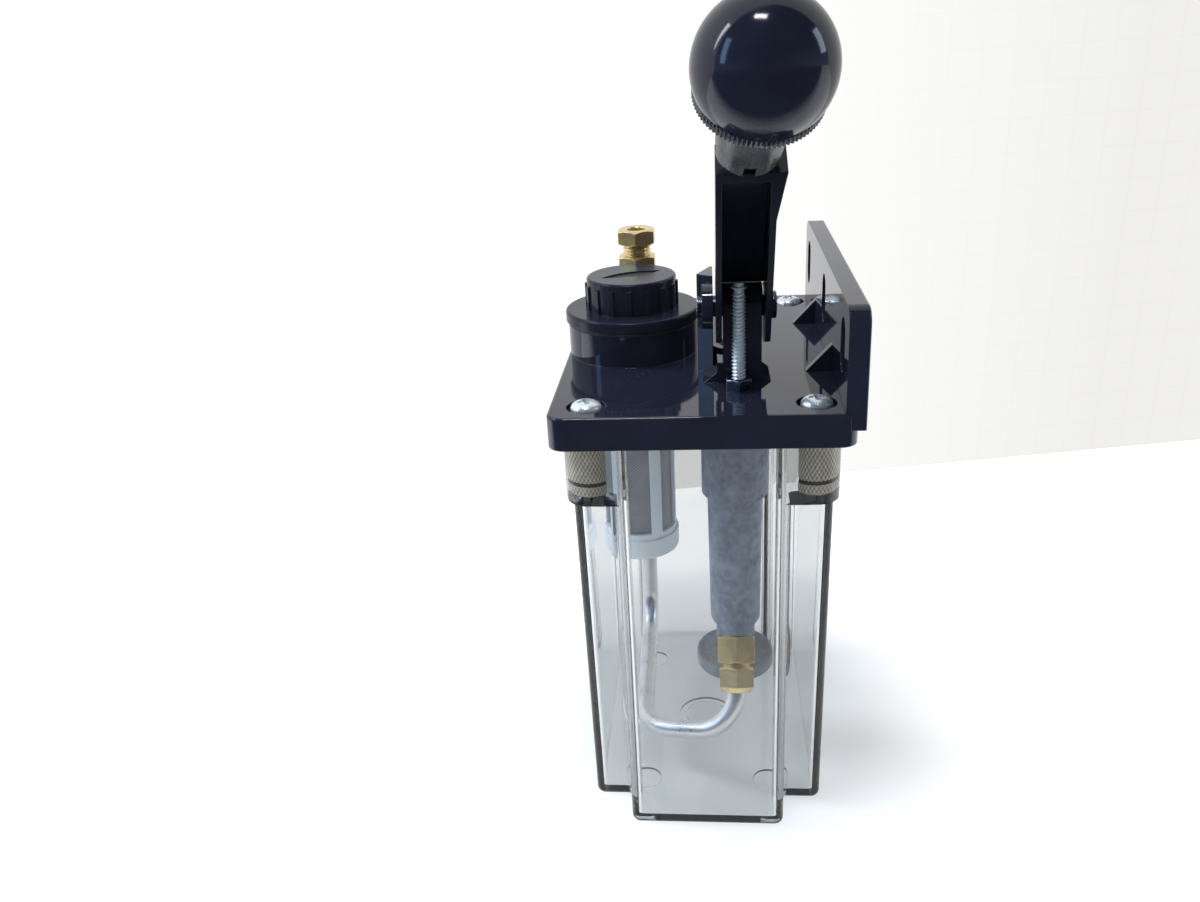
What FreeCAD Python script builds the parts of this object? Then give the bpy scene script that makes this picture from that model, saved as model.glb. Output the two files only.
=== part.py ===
import FreeCAD, Part
import math
import os
import re

import Sketcher

# Hand-operated lubrication pump: clear tank, moulded lid, lever pump and brass pipework.
# Millimetres, +Z up, the lever is pulled towards -Y, origin at the centre of the tank's base.

# Driving dimensions, each written once. Cuts run a millimetre past the faces that they open.
SIZES = {
    "tank_width": 77.2,
    "tank_length": 115.2,
    "tank_height": 133.5,
    "tank_draft": 1.5,
    "tank_wall": 2.4,
    "tank_floor": 3.0,
    "front_lobe_width": 48.8,
    "side_lobe_length": 86.0,
    "tank_corner": 3.0,
    "inner_corner": 1.5,
    "base_corner": 2.0,
    "insert_boss_height": 17.5,
    "insert_boss_corner": 7.0,
    "foot_dimple_width": 10.0,
    "foot_dimple_depth": 0.8,
    "foot_spacing_x": 41.0,
    "foot_spacing_y": 70.0,
    "centre_ring_width": 20.0,
    "centre_ring_band": 2.5,
    "gasket_thickness": 1.0,
    "lid_width": 84.0,
    "lid_length": 122.0,
    "lid_thickness": 9.5,
    "lid_corner": 5.0,
    "lid_edge": 0.8,
    "screw_spacing_x": 63.0,
    "screw_spacing_y": 103.2,
    "screw_width": 5.0,
    "screw_length": 20.0,
    "screw_hole_width": 5.5,
    "screw_head_width": 8.8,
    "screw_head_height": 3.2,
    "screw_head_dome": 2.24,
    "screw_recess_width": 11.0,
    "screw_recess_depth": 1.4,
    "insert_width": 9.0,
    "insert_length": 15.0,
    "insert_groove_width": 1.2,
    "insert_groove_depth": 0.5,
    "insert_groove_rise": 3.0,
    "plate_thickness": 5.7,
    "plate_overhang": 1.9,
    "plate_length": 120.0,
    "plate_rise": 28.0,
    "plate_drop": 5.1,
    "plate_corner": 5.0,
    "slot_width": 8.5,
    "slot_length": 15.0,
    "slot_spacing": 48.0,
    "slot_rise": 15.0,
    "gusset_reach": 7.4,
    "gusset_height": 8.0,
    "gusset_thickness": 2.6,
    "gusset_spacing": 49.0,
    "filler_left": 21.3,
    "filler_back": 0.8,
    "filler_boss_width": 40.7,
    "filler_boss_height": 9.9,
    "filler_seat_width": 33.2,
    "filler_seat_depth": 8.4,
    "filler_bore_width": 26.6,
    "cap_flange_width": 42.2,
    "cap_flange_thickness": 3.3,
    "cap_grip_width": 28.0,
    "cap_grip_height": 9.9,
    "cap_rib_reach": 0.6,
    "cap_rib_width": 1.8,
    "cap_rib_drop": 2.2,
    "cap_rib_count": 16,
    "cap_plug_width": 32.4,
    "cap_plug_length": 5.6,
    "cap_plug_wall": 2.2,
    "cap_recess_length": 20.0,
    "cap_recess_width": 6.0,
    "cap_recess_depth": 0.4,
    "cap_recess_turn": 24.0,
    "cap_seal_thickness": 1.0,
    "strainer_flange_width": 32.6,
    "strainer_flange_thickness": 2.0,
    "strainer_width": 24.0,
    "strainer_wall": 1.3,
    "strainer_foot_width": 25.6,
    "strainer_foot_height": 7.0,
    "strainer_length": 74.0,
    "strainer_floor": 1.6,
    "window_width": 8.2,
    "window_height": 52.0,
    "window_rise": 9.0,
    "mesh_thickness": 0.4,
    "pump_right": 10.2,
    "pump_front": 18.0,
    "barrel_upper_width": 20.9,
    "barrel_upper_length": 32.0,
    "barrel_step_length": 2.0,
    "barrel_lower_width": 17.4,
    "barrel_bottom_width": 16.2,
    "barrel_length": 81.0,
    "barrel_corner": 4.0,
    "barrel_spigot_width": 18.0,
    "barrel_spigot_length": 5.0,
    "barrel_bore_width": 12.0,
    "barrel_bottom_thickness": 8.5,
    "foot_block_width": 11.0,
    "foot_block_length": 7.0,
    "filter_back": 8.0,
    "filter_width": 26.0,
    "filter_thickness": 6.0,
    "filter_edge": 1.2,
    "filter_gap": 8.0,
    "stem_width": 6.4,
    "stem_bore_width": 2.6,
    "stem_sink": 3.0,
    "inlet_bore_width": 3.0,
    "ball_chamber_width": 5.2,
    "ball_chamber_length": 4.6,
    "check_ball_width": 4.0,
    "check_ball_gap": 0.05,
    "piston_length": 9.0,
    "piston_clearance": 0.05,
    "piston_rest_gap": 0.6,
    "piston_groove_width": 2.4,
    "piston_groove_depth": 1.6,
    "rod_width": 5.0,
    "rod_clearance": 0.05,
    "rod_guide_width": 14.0,
    "rod_guide_height": 7.0,
    "rod_seal_width": 9.6,
    "rod_seal_height": 2.6,
    "rod_eye_thickness": 6.0,
    "rod_eye_width": 8.8,
    "rod_eye_height": 9.0,
    "link_slot_play": 0.5,
    "link_slot_travel": 1.6,
    "spring_wire": 1.2,
    "spring_width": 10.0,
    "spring_turns": 9.0,
    "spring_gap": 0.05,
    "pivot_front": 28.5,
    "pivot_rise": 21.2,
    "pivot_pin_width": 6.0,
    "pivot_clearance": 0.05,
    "pin_head_width": 7.8,
    "pin_head_length": 2.0,
    "pin_head_round": 0.5,
    "pin_end_gap": 0.3,
    "spine_left": 6.6,
    "spine_right": 17.5,
    "spine_depth": 11.6,
    "tower_foot_left": 4.9,
    "tower_foot_right": 16.2,
    "tower_foot_height": 6.0,
    "tower_foot_length": 21.0,
    "rib_reach": 4.0,
    "rib_height": 3.2,
    "rib_length": 14.0,
    "ear_left": -0.7,
    "ear_right": 3.9,
    "ear_back": 14.0,
    "ear_back_width": 0.8,
    "ear_front_left": 23.0,
    "ear_front_right": 26.0,
    "ear_rise": 29.3,
    "pin_boss_left": 0.8,
    "pin_boss_width": 13.0,
    "link_arm_drop": 4.0,
    "link_pin_width": 4.0,
    "lever_centre": 12.05,
    "lever_width": 14.9,
    "lever_wall": 1.6,
    "lever_lean": 27.5,
    "lever_front": 14.9,
    "lever_back": 5.0,
    "lever_top_back": -2.5,
    "lever_top": 55.5,
    "lever_web_start": 5.8,
    "lever_lobe": 5.0,
    "lever_lobe_corner": 4.0,
    "lever_chin": 5.0,
    "lever_shank_width": 9.6,
    "lever_shank_sink": 9.0,
    "lever_bolster": 2.5,
    "lever_flare": 2.2,
    "lever_flare_length": 14.0,
    "neck_bend": 17.0,
    "neck_tilt": 5.6,
    "knob_distance": 31.1,
    "knob_width": 32.0,
    "knob_bore_depth": 12.0,
    "knob_band_width": 29.9,
    "knob_band_height": 3.0,
    "knob_band_drop": 7.2,
    "sleeve_width": 15.8,
    "sleeve_top_width": 17.4,
    "sleeve_length": 12.9,
    "sleeve_sink": 1.2,
    "sleeve_fit": 0.1,
    "sleeve_slot_width": 3.0,
    "sleeve_slot_height": 3.2,
    "stop_right": 10.9,
    "stop_front": 39.2,
    "stop_width": 4.0,
    "stop_rise": 30.9,
    "stop_sink": 12.0,
    "stop_tip_width": 3.0,
    "stop_tip_height": 1.2,
    "stop_tip_bevel": 0.5,
    "stop_ring_width": 4.6,
    "stop_ring_height": 0.8,
    "stop_neck_width": 3.2,
    "stop_neck_height": 1.0,
    "lock_nut_flats": 7.0,
    "lock_nut_height": 3.4,
    "delivery_tilt": 30.0,
    "delivery_forward": 1.5,
    "delivery_seat_width": 12.5,
    "delivery_seat_reach": 7.0,
    "delivery_flats": 12.0,
    "delivery_hex_length": 9.0,
    "delivery_thread_width": 9.6,
    "delivery_thread_length": 7.0,
    "delivery_spigot_width": 8.0,
    "delivery_spigot_length": 4.0,
    "delivery_nut_flats": 11.0,
    "delivery_nut_length": 8.0,
    "delivery_nut_gap": 1.4,
    "tube_width": 6.0,
    "tube_wall": 1.0,
    "tube_fit": 0.1,
    "tube_end_gap": 0.2,
    "tube_drop": 13.0,
    "tube_run_back": 28.0,
    "tube_run_height": 17.5,
    "tube_rear_height": 24.0,
    "tube_bend": 14.0,
    "outlet_back": 33.4,
    "outlet_boss_width": 17.0,
    "outlet_boss_height": 11.0,
    "outlet_hex_flats": 12.0,
    "outlet_hex_height": 12.0,
    "outlet_thread_width": 9.6,
    "outlet_thread_height": 7.6,
    "outlet_shank_reach": 6.0,
    "outlet_nut_flats": 12.0,
    "outlet_nut_height": 5.0,
    "outlet_nut_gap": 3.8,
    "outlet_backnut_flats": 12.0,
    "outlet_backnut_height": 4.0,
}

# Heights and places worked out from the driving dimensions
SCREW_X = "(screw_spacing_x / 2)"
SCREW_Y = "(screw_spacing_y / 2)"
NOTCH = "min(tank_length - side_lobe_length, tank_width - front_lobe_width)"
LID_BOTTOM = "(tank_height + gasket_thickness)"
LID_TOP = "(tank_height + gasket_thickness + lid_thickness)"
BARREL_BOTTOM = f"({LID_BOTTOM} - barrel_length)"
PUMP_X = "pump_right"
PUMP_Y = "(-pump_front)"
FILTER_Y = "(filter_back - pump_front)"
FOOT_BOTTOM = f"({BARREL_BOTTOM} - foot_block_length)"
FILTER_TOP = f"({FOOT_BOTTOM} - filter_gap)"
PIVOT_Y = "(-pivot_front)"
PIVOT_Z = f"({LID_TOP} + pivot_rise)"
LINK_Z = f"({PIVOT_Z} - link_arm_drop)"
CAP_SEAT = f"({LID_TOP} + filler_boss_height + cap_seal_thickness)"
STRAINER_SEAT = f"({LID_TOP} + filler_boss_height - filler_seat_depth)"
FILLER_X = "(-filler_left)"
FILLER_Y = "filler_back"
OUTLET_Y = "outlet_back"
OUTLET_SEAT = f"({LID_TOP} + outlet_boss_height)"
PLATE_OUTER = "(lid_width / 2 + plate_overhang)"
PLATE_INNER = f"({PLATE_OUTER} - plate_thickness)"
BORE_BOTTOM = f"({BARREL_BOTTOM} + barrel_bottom_thickness)"
PISTON_BOTTOM = f"({BORE_BOTTOM} + piston_rest_gap)"
PISTON_TOP = f"({PISTON_BOTTOM} + piston_length)"
BALL_FLOOR = f"({FOOT_BOTTOM} + stem_sink)"

ALONG = {
    "x": FreeCAD.Rotation(FreeCAD.Vector(0, 1, 0), 90),
    "y": FreeCAD.Rotation(FreeCAD.Vector(1, 0, 0), -90),
    "z": FreeCAD.Rotation(),
}
ORIGIN = ("0", "0", "0")
CORNERS = [(-1, -1), (1, -1), (1, 1), (-1, 1)]

doc = FreeCAD.newDocument("lubrication_pump")
sheet = doc.addObject("Spreadsheet::Sheet", "Sizes")
for row, (alias, size) in enumerate(SIZES.items(), start=1):
    sheet.set(f"A{row}", alias)
    sheet.set(f"B{row}", str(size))
    sheet.setAlias(f"B{row}", alias)
doc.recompute()

nodes = {}


def value(expression):
    """The number that an expression of the sheet's aliases gives."""
    return float(sheet.evalExpression(expression))


def point(expressions):
    """A vector from three expressions."""
    return FreeCAD.Vector(*[value(expression) for expression in expressions])


def bound(expression):
    """The same expression with each alias read from the sheet."""
    return re.sub(r"[a-z_]+", lambda word: "Sizes." + word[0] if word[0] in SIZES else word[0], expression)


def bind(item, prop, expression):
    """Bind one property of an object to the sheet."""
    item.setExpression(prop, bound(expression))


def place(item, at, axis="z", turn=0.0):
    """Stand an object at a bound place, with its own Z along an axis, turned about Z first."""
    spin = FreeCAD.Rotation(FreeCAD.Vector(0, 0, 1), turn)
    item.Placement = FreeCAD.Placement(FreeCAD.Vector(), spin.multiply(ALONG[axis]))
    for letter, expression in zip("xyz", at):
        bind(item, f"Placement.Base.{letter}", expression)


def keep(item, label, placement=None):
    """Name a finished sub-part and put it where it sits in the product."""
    item.Label = label
    if placement is not None:
        item.Placement = placement
    nodes[label] = item
    return item


def new_body(name):
    return doc.addObject("PartDesign::Body", name + "_body")


def add_round(body, name, width, height, at=ORIGIN, axis="z", cut=False):
    """A round boss, or a round hole where cut is set."""
    kind = "PartDesign::SubtractiveCylinder" if cut else "PartDesign::AdditiveCylinder"
    item = body.newObject(kind, name)
    bind(item, "Radius", f"({width}) / 2")
    bind(item, "Height", height)
    place(item, at, axis)
    return item


def add_block(body, name, size, at=ORIGIN, turn=0.0, cut=False):
    """A box from its near corner, or a box-shaped cut."""
    kind = "PartDesign::SubtractiveBox" if cut else "PartDesign::AdditiveBox"
    item = body.newObject(kind, name)
    for prop, expression in zip(("Length", "Width", "Height"), size):
        bind(item, prop, expression)
    place(item, at, turn=turn)
    return item


def add_hex(body, name, flats, height, at=ORIGIN, cut=False):
    """A hexagonal prism from its width across flats, a corner towards -Y."""
    kind = "PartDesign::SubtractivePrism" if cut else "PartDesign::AdditivePrism"
    item = body.newObject(kind, name)
    item.Polygon = 6
    bind(item, "Circumradius", f"({flats}) / sqrt(3)")
    bind(item, "Height", height)
    place(item, at, turn=30.0)
    return item


def add_sketch(body, name, plane, points, offset="0"):
    """A closed outline on an origin plane, every corner held at its bound place."""
    sketch = body.newObject("Sketcher::SketchObject", name)
    base = [item for item in body.Origin.OriginFeatures if item.Role == plane + "_Plane"][0]
    sketch.AttachmentSupport = [(base, "")]
    sketch.MapMode = "FlatFace"
    bind(sketch, "AttachmentOffset.Base.z", offset)
    spots = [FreeCAD.Vector(value(across), value(up), 0) for across, up in points]
    for index, spot in enumerate(spots):
        sketch.addGeometry(Part.LineSegment(spot, spots[(index + 1) % len(spots)]), False)
    for index in range(len(spots)):
        sketch.addConstraint(Sketcher.Constraint("Coincident", index, 2, (index + 1) % len(spots), 1))
    for index, (spot, (across, up)) in enumerate(zip(spots, points)):
        first = sketch.addConstraint(Sketcher.Constraint("DistanceX", -1, 1, index, 1, spot.x))
        second = sketch.addConstraint(Sketcher.Constraint("DistanceY", -1, 1, index, 1, spot.y))
        bind(sketch, f"Constraints[{first}]", across)
        bind(sketch, f"Constraints[{second}]", up)
    return sketch


def add_pad(body, name, plane, points, length, offset="0", cut=False):
    """Extrude an outline along its plane's normal, as material or as a cut."""
    sketch = add_sketch(body, name + "_sketch", plane, points, offset)
    item = body.newObject("PartDesign::Pocket" if cut else "PartDesign::Pad", name)
    item.Profile = sketch
    item.Reversed = cut
    bind(item, "Length", length)
    return item


def add_turned(body, name, points):
    """Revolve an outline of radius and height about Z."""
    sketch = add_sketch(body, name + "_sketch", "XZ", points)
    item = body.newObject("PartDesign::Revolution", name)
    item.Profile = sketch
    item.ReferenceAxis = (sketch, ["V_Axis"])
    item.Angle = 360
    return item


def add_fillet(body, name, radius, wanted):
    """Round the edges of the body that the test picks out."""
    doc.recompute()
    solid = body.Tip
    picked = [f"Edge{i}" for i, edge in enumerate(solid.Shape.Edges, start=1) if wanted(edge)]
    item = body.newObject("PartDesign::Fillet", name)
    item.Base = (solid, picked)
    bind(item, "Radius", radius)
    return item


def turned_part(label, points, placement=None):
    """A sub-part that is one solid of revolution."""
    body = new_body(label)
    add_turned(body, label + "_turn", points)
    return keep(body, label, placement)


def group(label, items):
    """Several like solids as one sub-part."""
    compound = doc.addObject("Part::Compound", label + "_group")
    compound.Links = items
    return keep(compound, label)


def near(number, expression, tolerance=0.02):
    return abs(number - value(expression)) < tolerance


def at(expressions, rotation=None):
    """A placement from three expressions and a rotation."""
    return FreeCAD.Placement(point(expressions), rotation or FreeCAD.Rotation())


UPRIGHT_SHARE = 0.9
SHORTEST_UPRIGHT = 1.0


def upright(edge):
    """True where an edge climbs nearly straight up."""
    box = edge.BoundBox
    return box.ZLength > UPRIGHT_SHARE * edge.Length and box.ZLength > SHORTEST_UPRIGHT


# Reservoir


def add_lobe(body, name, half_x, half_y, draft_x, draft_y, floor, cut=False):
    """A drafted box of the tank, from a floor height up to the rim."""
    kind = "PartDesign::SubtractiveWedge" if cut else "PartDesign::AdditiveWedge"
    item = body.newObject(kind, name)
    bind(item, "Xmin", f"{draft_x} - {half_x}")
    bind(item, "Xmax", f"{half_x} - {draft_x}")
    bind(item, "Zmin", f"{draft_y} - {half_y}")
    bind(item, "Zmax", f"{half_y} - {draft_y}")
    bind(item, "X2min", f"-({half_x})")
    bind(item, "X2max", half_x)
    bind(item, "Z2min", f"-({half_y})")
    bind(item, "Z2max", half_y)
    bind(item, "Ymin", floor)
    bind(item, "Ymax", "tank_height")
    item.Placement = FreeCAD.Placement(FreeCAD.Vector(), FreeCAD.Rotation(FreeCAD.Vector(1, 0, 0), 90))
    return item


def make_reservoir():
    body = new_body("reservoir")
    add_lobe(body, "side_lobes", "(tank_width / 2)", "(side_lobe_length / 2)", "tank_draft", "0", "0")
    add_lobe(body, "front_lobes", "(front_lobe_width / 2)", "(tank_length / 2)", "0", "tank_draft", "0")
    add_fillet(body, "tank_corners", f"min(tank_corner, {NOTCH} / 4 - tank_draft / 2 - 0.1)", upright)
    add_fillet(body, "base_corners", "base_corner", lambda edge: near(edge.BoundBox.ZMax, "0"))
    inner_x = "(tank_width / 2 - tank_wall)"
    inner_y = "(side_lobe_length / 2 - tank_wall)"
    front_x = "(front_lobe_width / 2 - tank_wall)"
    front_y = "(tank_length / 2 - tank_wall)"
    add_lobe(body, "side_space", inner_x, inner_y, "tank_draft", "0", "tank_floor", cut=True)
    add_lobe(body, "front_space", front_x, front_y, "0", "tank_draft", "tank_floor", cut=True)
    add_fillet(body, "inner_corners", "inner_corner", is_inner_corner)
    boss_bottom = "(tank_height - insert_boss_height)"
    boss_x = "(tank_width / 2 - front_lobe_width / 2 + tank_wall / 2)"
    boss_y = "(tank_length / 2 - side_lobe_length / 2 + tank_wall / 2)"
    for index, (side_x, side_y) in enumerate(CORNERS):
        near_x = "(front_lobe_width / 2 - tank_wall / 2)" if side_x > 0 else "(-tank_width / 2)"
        near_y = "(side_lobe_length / 2 - tank_wall / 2)" if side_y > 0 else "(-tank_length / 2)"
        size = (boss_x, boss_y, "insert_boss_height")
        add_block(body, f"insert_boss_{index}", size, (near_x, near_y, boss_bottom))
    add_fillet(body, "boss_corners", "insert_boss_corner", is_boss_corner)
    for index, (side_x, side_y) in enumerate(CORNERS):
        spot = (f"{side_x} * {SCREW_X}", f"{side_y} * {SCREW_Y}", "tank_height - insert_length")
        add_round(body, f"insert_hole_{index}", "insert_width", "insert_length + 1", spot, cut=True)
        foot = (f"{side_x} * foot_spacing_x / 2", f"{side_y} * foot_spacing_y / 2", "-foot_dimple_depth")
        add_round(body, f"foot_{index}", "foot_dimple_width", "2 * foot_dimple_depth", foot, cut=True)
    under = ("0", "0", "-foot_dimple_depth")
    add_round(body, "centre_dimple", "centre_ring_width", "2 * foot_dimple_depth", under, cut=True)
    inside = "centre_ring_width - 2 * centre_ring_band"
    add_round(body, "centre_pad", inside, "foot_dimple_depth + tank_floor / 2")
    return keep(body, "reservoir")


def is_inner_corner(edge):
    """The upright edges of the cavity."""
    middle = edge.CenterOfMass
    inside_x = abs(middle.x) < value("tank_width / 2 - tank_wall / 2 - tank_draft / 2")
    inside_y = abs(middle.y) < value("side_lobe_length / 2 - tank_wall / 2")
    front_x = abs(middle.x) < value("front_lobe_width / 2 - tank_wall / 2")
    front_y = abs(middle.y) < value("tank_length / 2 - tank_wall / 2 - tank_draft / 2")
    return upright(edge) and near(edge.BoundBox.ZMin, "tank_floor") and (
        (inside_x and inside_y) or (front_x and front_y))


def is_boss_corner(edge):
    """The outermost upright edge of each insert boss."""
    middle = edge.CenterOfMass
    return upright(edge) and near(abs(middle.x), "tank_width / 2") and near(abs(middle.y), "tank_length / 2")


def make_gasket():
    body = new_body("lid_gasket")
    add_block(body, "sheet", ("tank_width", "tank_length", "gasket_thickness"),
              ("-tank_width / 2", "-tank_length / 2", "0"))
    add_fillet(body, "sheet_corners", "insert_boss_corner",
               lambda edge: near(edge.BoundBox.ZLength, "gasket_thickness"))
    for name, width, length in (("wide", "tank_width", "side_lobe_length"),
                                ("long", "front_lobe_width", "tank_length")):
        size = (f"{width} - 2 * tank_wall", f"{length} - 2 * tank_wall", "3 * gasket_thickness")
        corner = (f"tank_wall - {width} / 2", f"tank_wall - {length} / 2", "-gasket_thickness")
        add_block(body, name + "_space", size, corner, cut=True)
    for index, (side_x, side_y) in enumerate(CORNERS):
        spot = (f"{side_x} * {SCREW_X}", f"{side_y} * {SCREW_Y}", "-gasket_thickness")
        add_round(body, f"screw_hole_{index}", "screw_hole_width", "3 * gasket_thickness", spot, cut=True)
    return keep(body, "lid_gasket", at(("0", "0", "tank_height")))


# Lid


def add_lid_plate(body):
    size = ("lid_width", "lid_length", "lid_thickness")
    add_block(body, "top_plate", size, ("-lid_width / 2", "-lid_length / 2", LID_BOTTOM))
    add_fillet(body, "lid_corners", "lid_corner", upright)
    add_fillet(body, "lid_edges", "lid_edge", lambda edge: near(edge.BoundBox.ZMin, LID_TOP))
    notch = ("plate_thickness", "plate_length", "plate_drop + 1")
    corner = (PLATE_INNER, "-plate_length / 2", f"{LID_TOP} - plate_drop")
    add_block(body, "plate_notch", notch, corner, cut=True)


def make_side_plate():
    """The fixing plate down the lid's right side, with its slots and gussets."""
    body = new_body("side_plate")
    half = "plate_length / 2"
    low = f"{LID_TOP} - plate_drop"
    high = f"{LID_TOP} + plate_rise"
    outline = [(f"-{half}", low), (half, low), (half, high), (f"-{half}", high)]
    add_pad(body, "side_plate", "YZ", outline, "plate_thickness", PLATE_INNER)
    add_fillet(body, "plate_corners", "plate_corner", is_plate_corner)
    add_fillet(body, "plate_edges", "lid_edge", is_plate_rim)
    for index, side in enumerate((-1, 1)):
        triangle = [(f"{PLATE_INNER} - gusset_reach", LID_TOP), (PLATE_INNER, LID_TOP),
                    (PLATE_INNER, f"{LID_TOP} + gusset_height")]
        middle = f"-({side} * gusset_spacing / 2 + gusset_thickness / 2)"
        add_pad(body, f"gusset_{index}", "XZ", triangle, "gusset_thickness", middle)
    for index, step in enumerate((-1, 0, 1)):
        add_slot(body, index, f"{step} * slot_spacing")
    return keep(body, "side_plate")


def is_plate_corner(edge):
    """The two top corners of the side plate."""
    box = edge.BoundBox
    return near(box.XLength, "plate_thickness") and near(box.ZMin, f"{LID_TOP} + plate_rise")


def is_plate_rim(edge):
    """The long edges round the face and back of the side plate, above the lid."""
    box = edge.BoundBox
    flat = near(box.XMin, PLATE_OUTER) and near(box.XMax, PLATE_OUTER)
    return flat and box.ZMax > value(LID_TOP)


def add_slot(body, index, middle):
    """An upright fixing slot through the side plate."""
    straight = "(slot_length - slot_width)"
    centre = f"{LID_TOP} + slot_rise"
    outer = f"{PLATE_INNER} - 1"
    size = ("plate_thickness + 2", "slot_width", straight)
    corner = (outer, f"{middle} - slot_width / 2", f"{centre} - {straight} / 2")
    add_block(body, f"slot_{index}", size, corner, cut=True)
    for end in (-1, 1):
        spot = (outer, middle, f"{centre} + {end} * {straight} / 2")
        name = f"slot_{index}_{'top' if end > 0 else 'bottom'}"
        add_round(body, name, "slot_width", "plate_thickness + 2", spot, "x", cut=True)


def add_tower(body):
    front = f"({PIVOT_Y} - spine_depth / 2)"
    foot_size = ("tower_foot_right - tower_foot_left", "tower_foot_length", "tower_foot_height")
    add_block(body, "tower_foot", foot_size, ("tower_foot_left", front, LID_TOP))
    spine_width = "(spine_right - spine_left)"
    add_block(body, "spine", (spine_width, "spine_depth", "pivot_rise"), ("spine_left", front, LID_TOP))
    add_round(body, "spine_head", "spine_depth", spine_width, ("spine_left", PIVOT_Y, PIVOT_Z), "x")
    for name, root, side in (("left", "tower_foot_left", -1), ("right", "tower_foot_right", 1)):
        tip = (f"{root} + {side} * rib_reach", LID_TOP)
        triangle = [(root, LID_TOP), tip, (root, f"{LID_TOP} + rib_height")]
        add_pad(body, f"{name}_rib", "XZ", triangle, "rib_length", f"-({front} + rib_length)")
    guide = (PUMP_X, PUMP_Y, LID_TOP)
    add_round(body, "rod_guide", "rod_guide_width", "rod_guide_height", guide)


def add_ear(body):
    plan = [("ear_right - ear_back_width", "-ear_back"), ("ear_left", "-ear_front_left"),
            ("ear_right", "-ear_front_right"), ("ear_right", "-ear_back")]
    add_pad(body, "ear", "XY", plan, "ear_rise", LID_TOP)
    add_round(body, "pin_boss", "pin_boss_width", "ear_right - pin_boss_left",
              ("pin_boss_left", PIVOT_Y, PIVOT_Z), "x")


def make_lid():
    body = new_body("lid")
    add_lid_plate(body)
    filler = (FILLER_X, FILLER_Y, LID_TOP)
    add_round(body, "filler_boss", "filler_boss_width", "filler_boss_height", filler)
    outlet = (FILLER_X, OUTLET_Y, LID_TOP)
    add_round(body, "outlet_boss", "outlet_boss_width", "outlet_boss_height", outlet)
    add_tower(body)
    add_ear(body)
    bore = (FILLER_X, FILLER_Y, f"{LID_BOTTOM} - 1")
    add_round(body, "filler_bore", "filler_bore_width", "lid_thickness + filler_boss_height + 2",
              bore, cut=True)
    add_round(body, "filler_seat", "filler_seat_width", "filler_seat_depth + 1",
              (FILLER_X, FILLER_Y, STRAINER_SEAT), cut=True)
    add_round(body, "outlet_bore", "outlet_thread_width", "lid_thickness + outlet_boss_height + 2",
              (FILLER_X, OUTLET_Y, f"{LID_BOTTOM} - 1"), cut=True)
    add_round(body, "pivot_bore", "pivot_pin_width", "spine_right - ear_left + 2",
              ("ear_left - 1", PIVOT_Y, PIVOT_Z), "x", cut=True)
    add_round(body, "rod_bore", "rod_width + 2 * rod_clearance", "lid_thickness + rod_guide_height + 2",
              (PUMP_X, PUMP_Y, f"{LID_BOTTOM} - 1"), cut=True)
    seal_floor = f"{LID_TOP} + rod_guide_height - rod_seal_height"
    add_round(body, "seal_seat", "rod_seal_width", "rod_seal_height + 1",
              (PUMP_X, PUMP_Y, seal_floor), cut=True)
    add_round(body, "barrel_seat", "barrel_spigot_width", "barrel_spigot_length + 1",
              (PUMP_X, PUMP_Y, f"{LID_BOTTOM} - 1"), cut=True)
    add_round(body, "stop_bore", "stop_width", "lid_thickness + 2",
              ("stop_right", "-stop_front", f"{LID_BOTTOM} - 1"), cut=True)
    for index, (side_x, side_y) in enumerate(CORNERS):
        spot = (f"{side_x} * {SCREW_X}", f"{side_y} * {SCREW_Y}")
        add_round(body, f"screw_recess_{index}", "screw_recess_width", "screw_recess_depth + 1",
                  (*spot, f"{LID_TOP} - screw_recess_depth"), cut=True)
        add_round(body, f"screw_hole_{index}", "screw_hole_width", "lid_thickness + 2",
                  (*spot, f"{LID_BOTTOM} - 1"), cut=True)
    return keep(body, "lid")


# Fasteners of the lid


def make_screws():
    seat = f"{LID_TOP} - screw_recess_depth"
    screws = []
    for index, (side_x, side_y) in enumerate(CORNERS):
        body = new_body(f"screw_{index}")
        add_round(body, f"head_{index}", "screw_head_width", "screw_head_height")
        add_fillet(body, f"dome_{index}", "screw_head_dome",
                   lambda edge: near(edge.BoundBox.ZMin, "screw_head_height"))
        add_round(body, f"shank_{index}", "screw_width", "screw_length", ("0", "0", "-screw_length"))
        body.Placement = at((f"{side_x} * {SCREW_X}", f"{side_y} * {SCREW_Y}", seat))
        screws.append(body)
    return group("lid_screws", screws)


def make_inserts():
    outer = "insert_width / 2"
    core = "screw_width / 2"
    groove = "insert_width / 2 - insert_groove_depth"
    low = "insert_groove_rise"
    outline = [(core, "0"), (outer, "0"), (outer, low), (groove, low),
               (groove, f"{low} + insert_groove_width"), (outer, f"{low} + insert_groove_width"),
               (outer, "insert_length"), (core, "insert_length")]
    inserts = []
    for index, (side_x, side_y) in enumerate(CORNERS):
        body = new_body(f"insert_{index}")
        add_turned(body, f"insert_{index}_turn", outline)
        spot = (f"{side_x} * {SCREW_X}", f"{side_y} * {SCREW_Y}", "tank_height - insert_length")
        body.Placement = at(spot)
        inserts.append(body)
    return group("threaded_inserts", inserts)


# Filler


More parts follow.
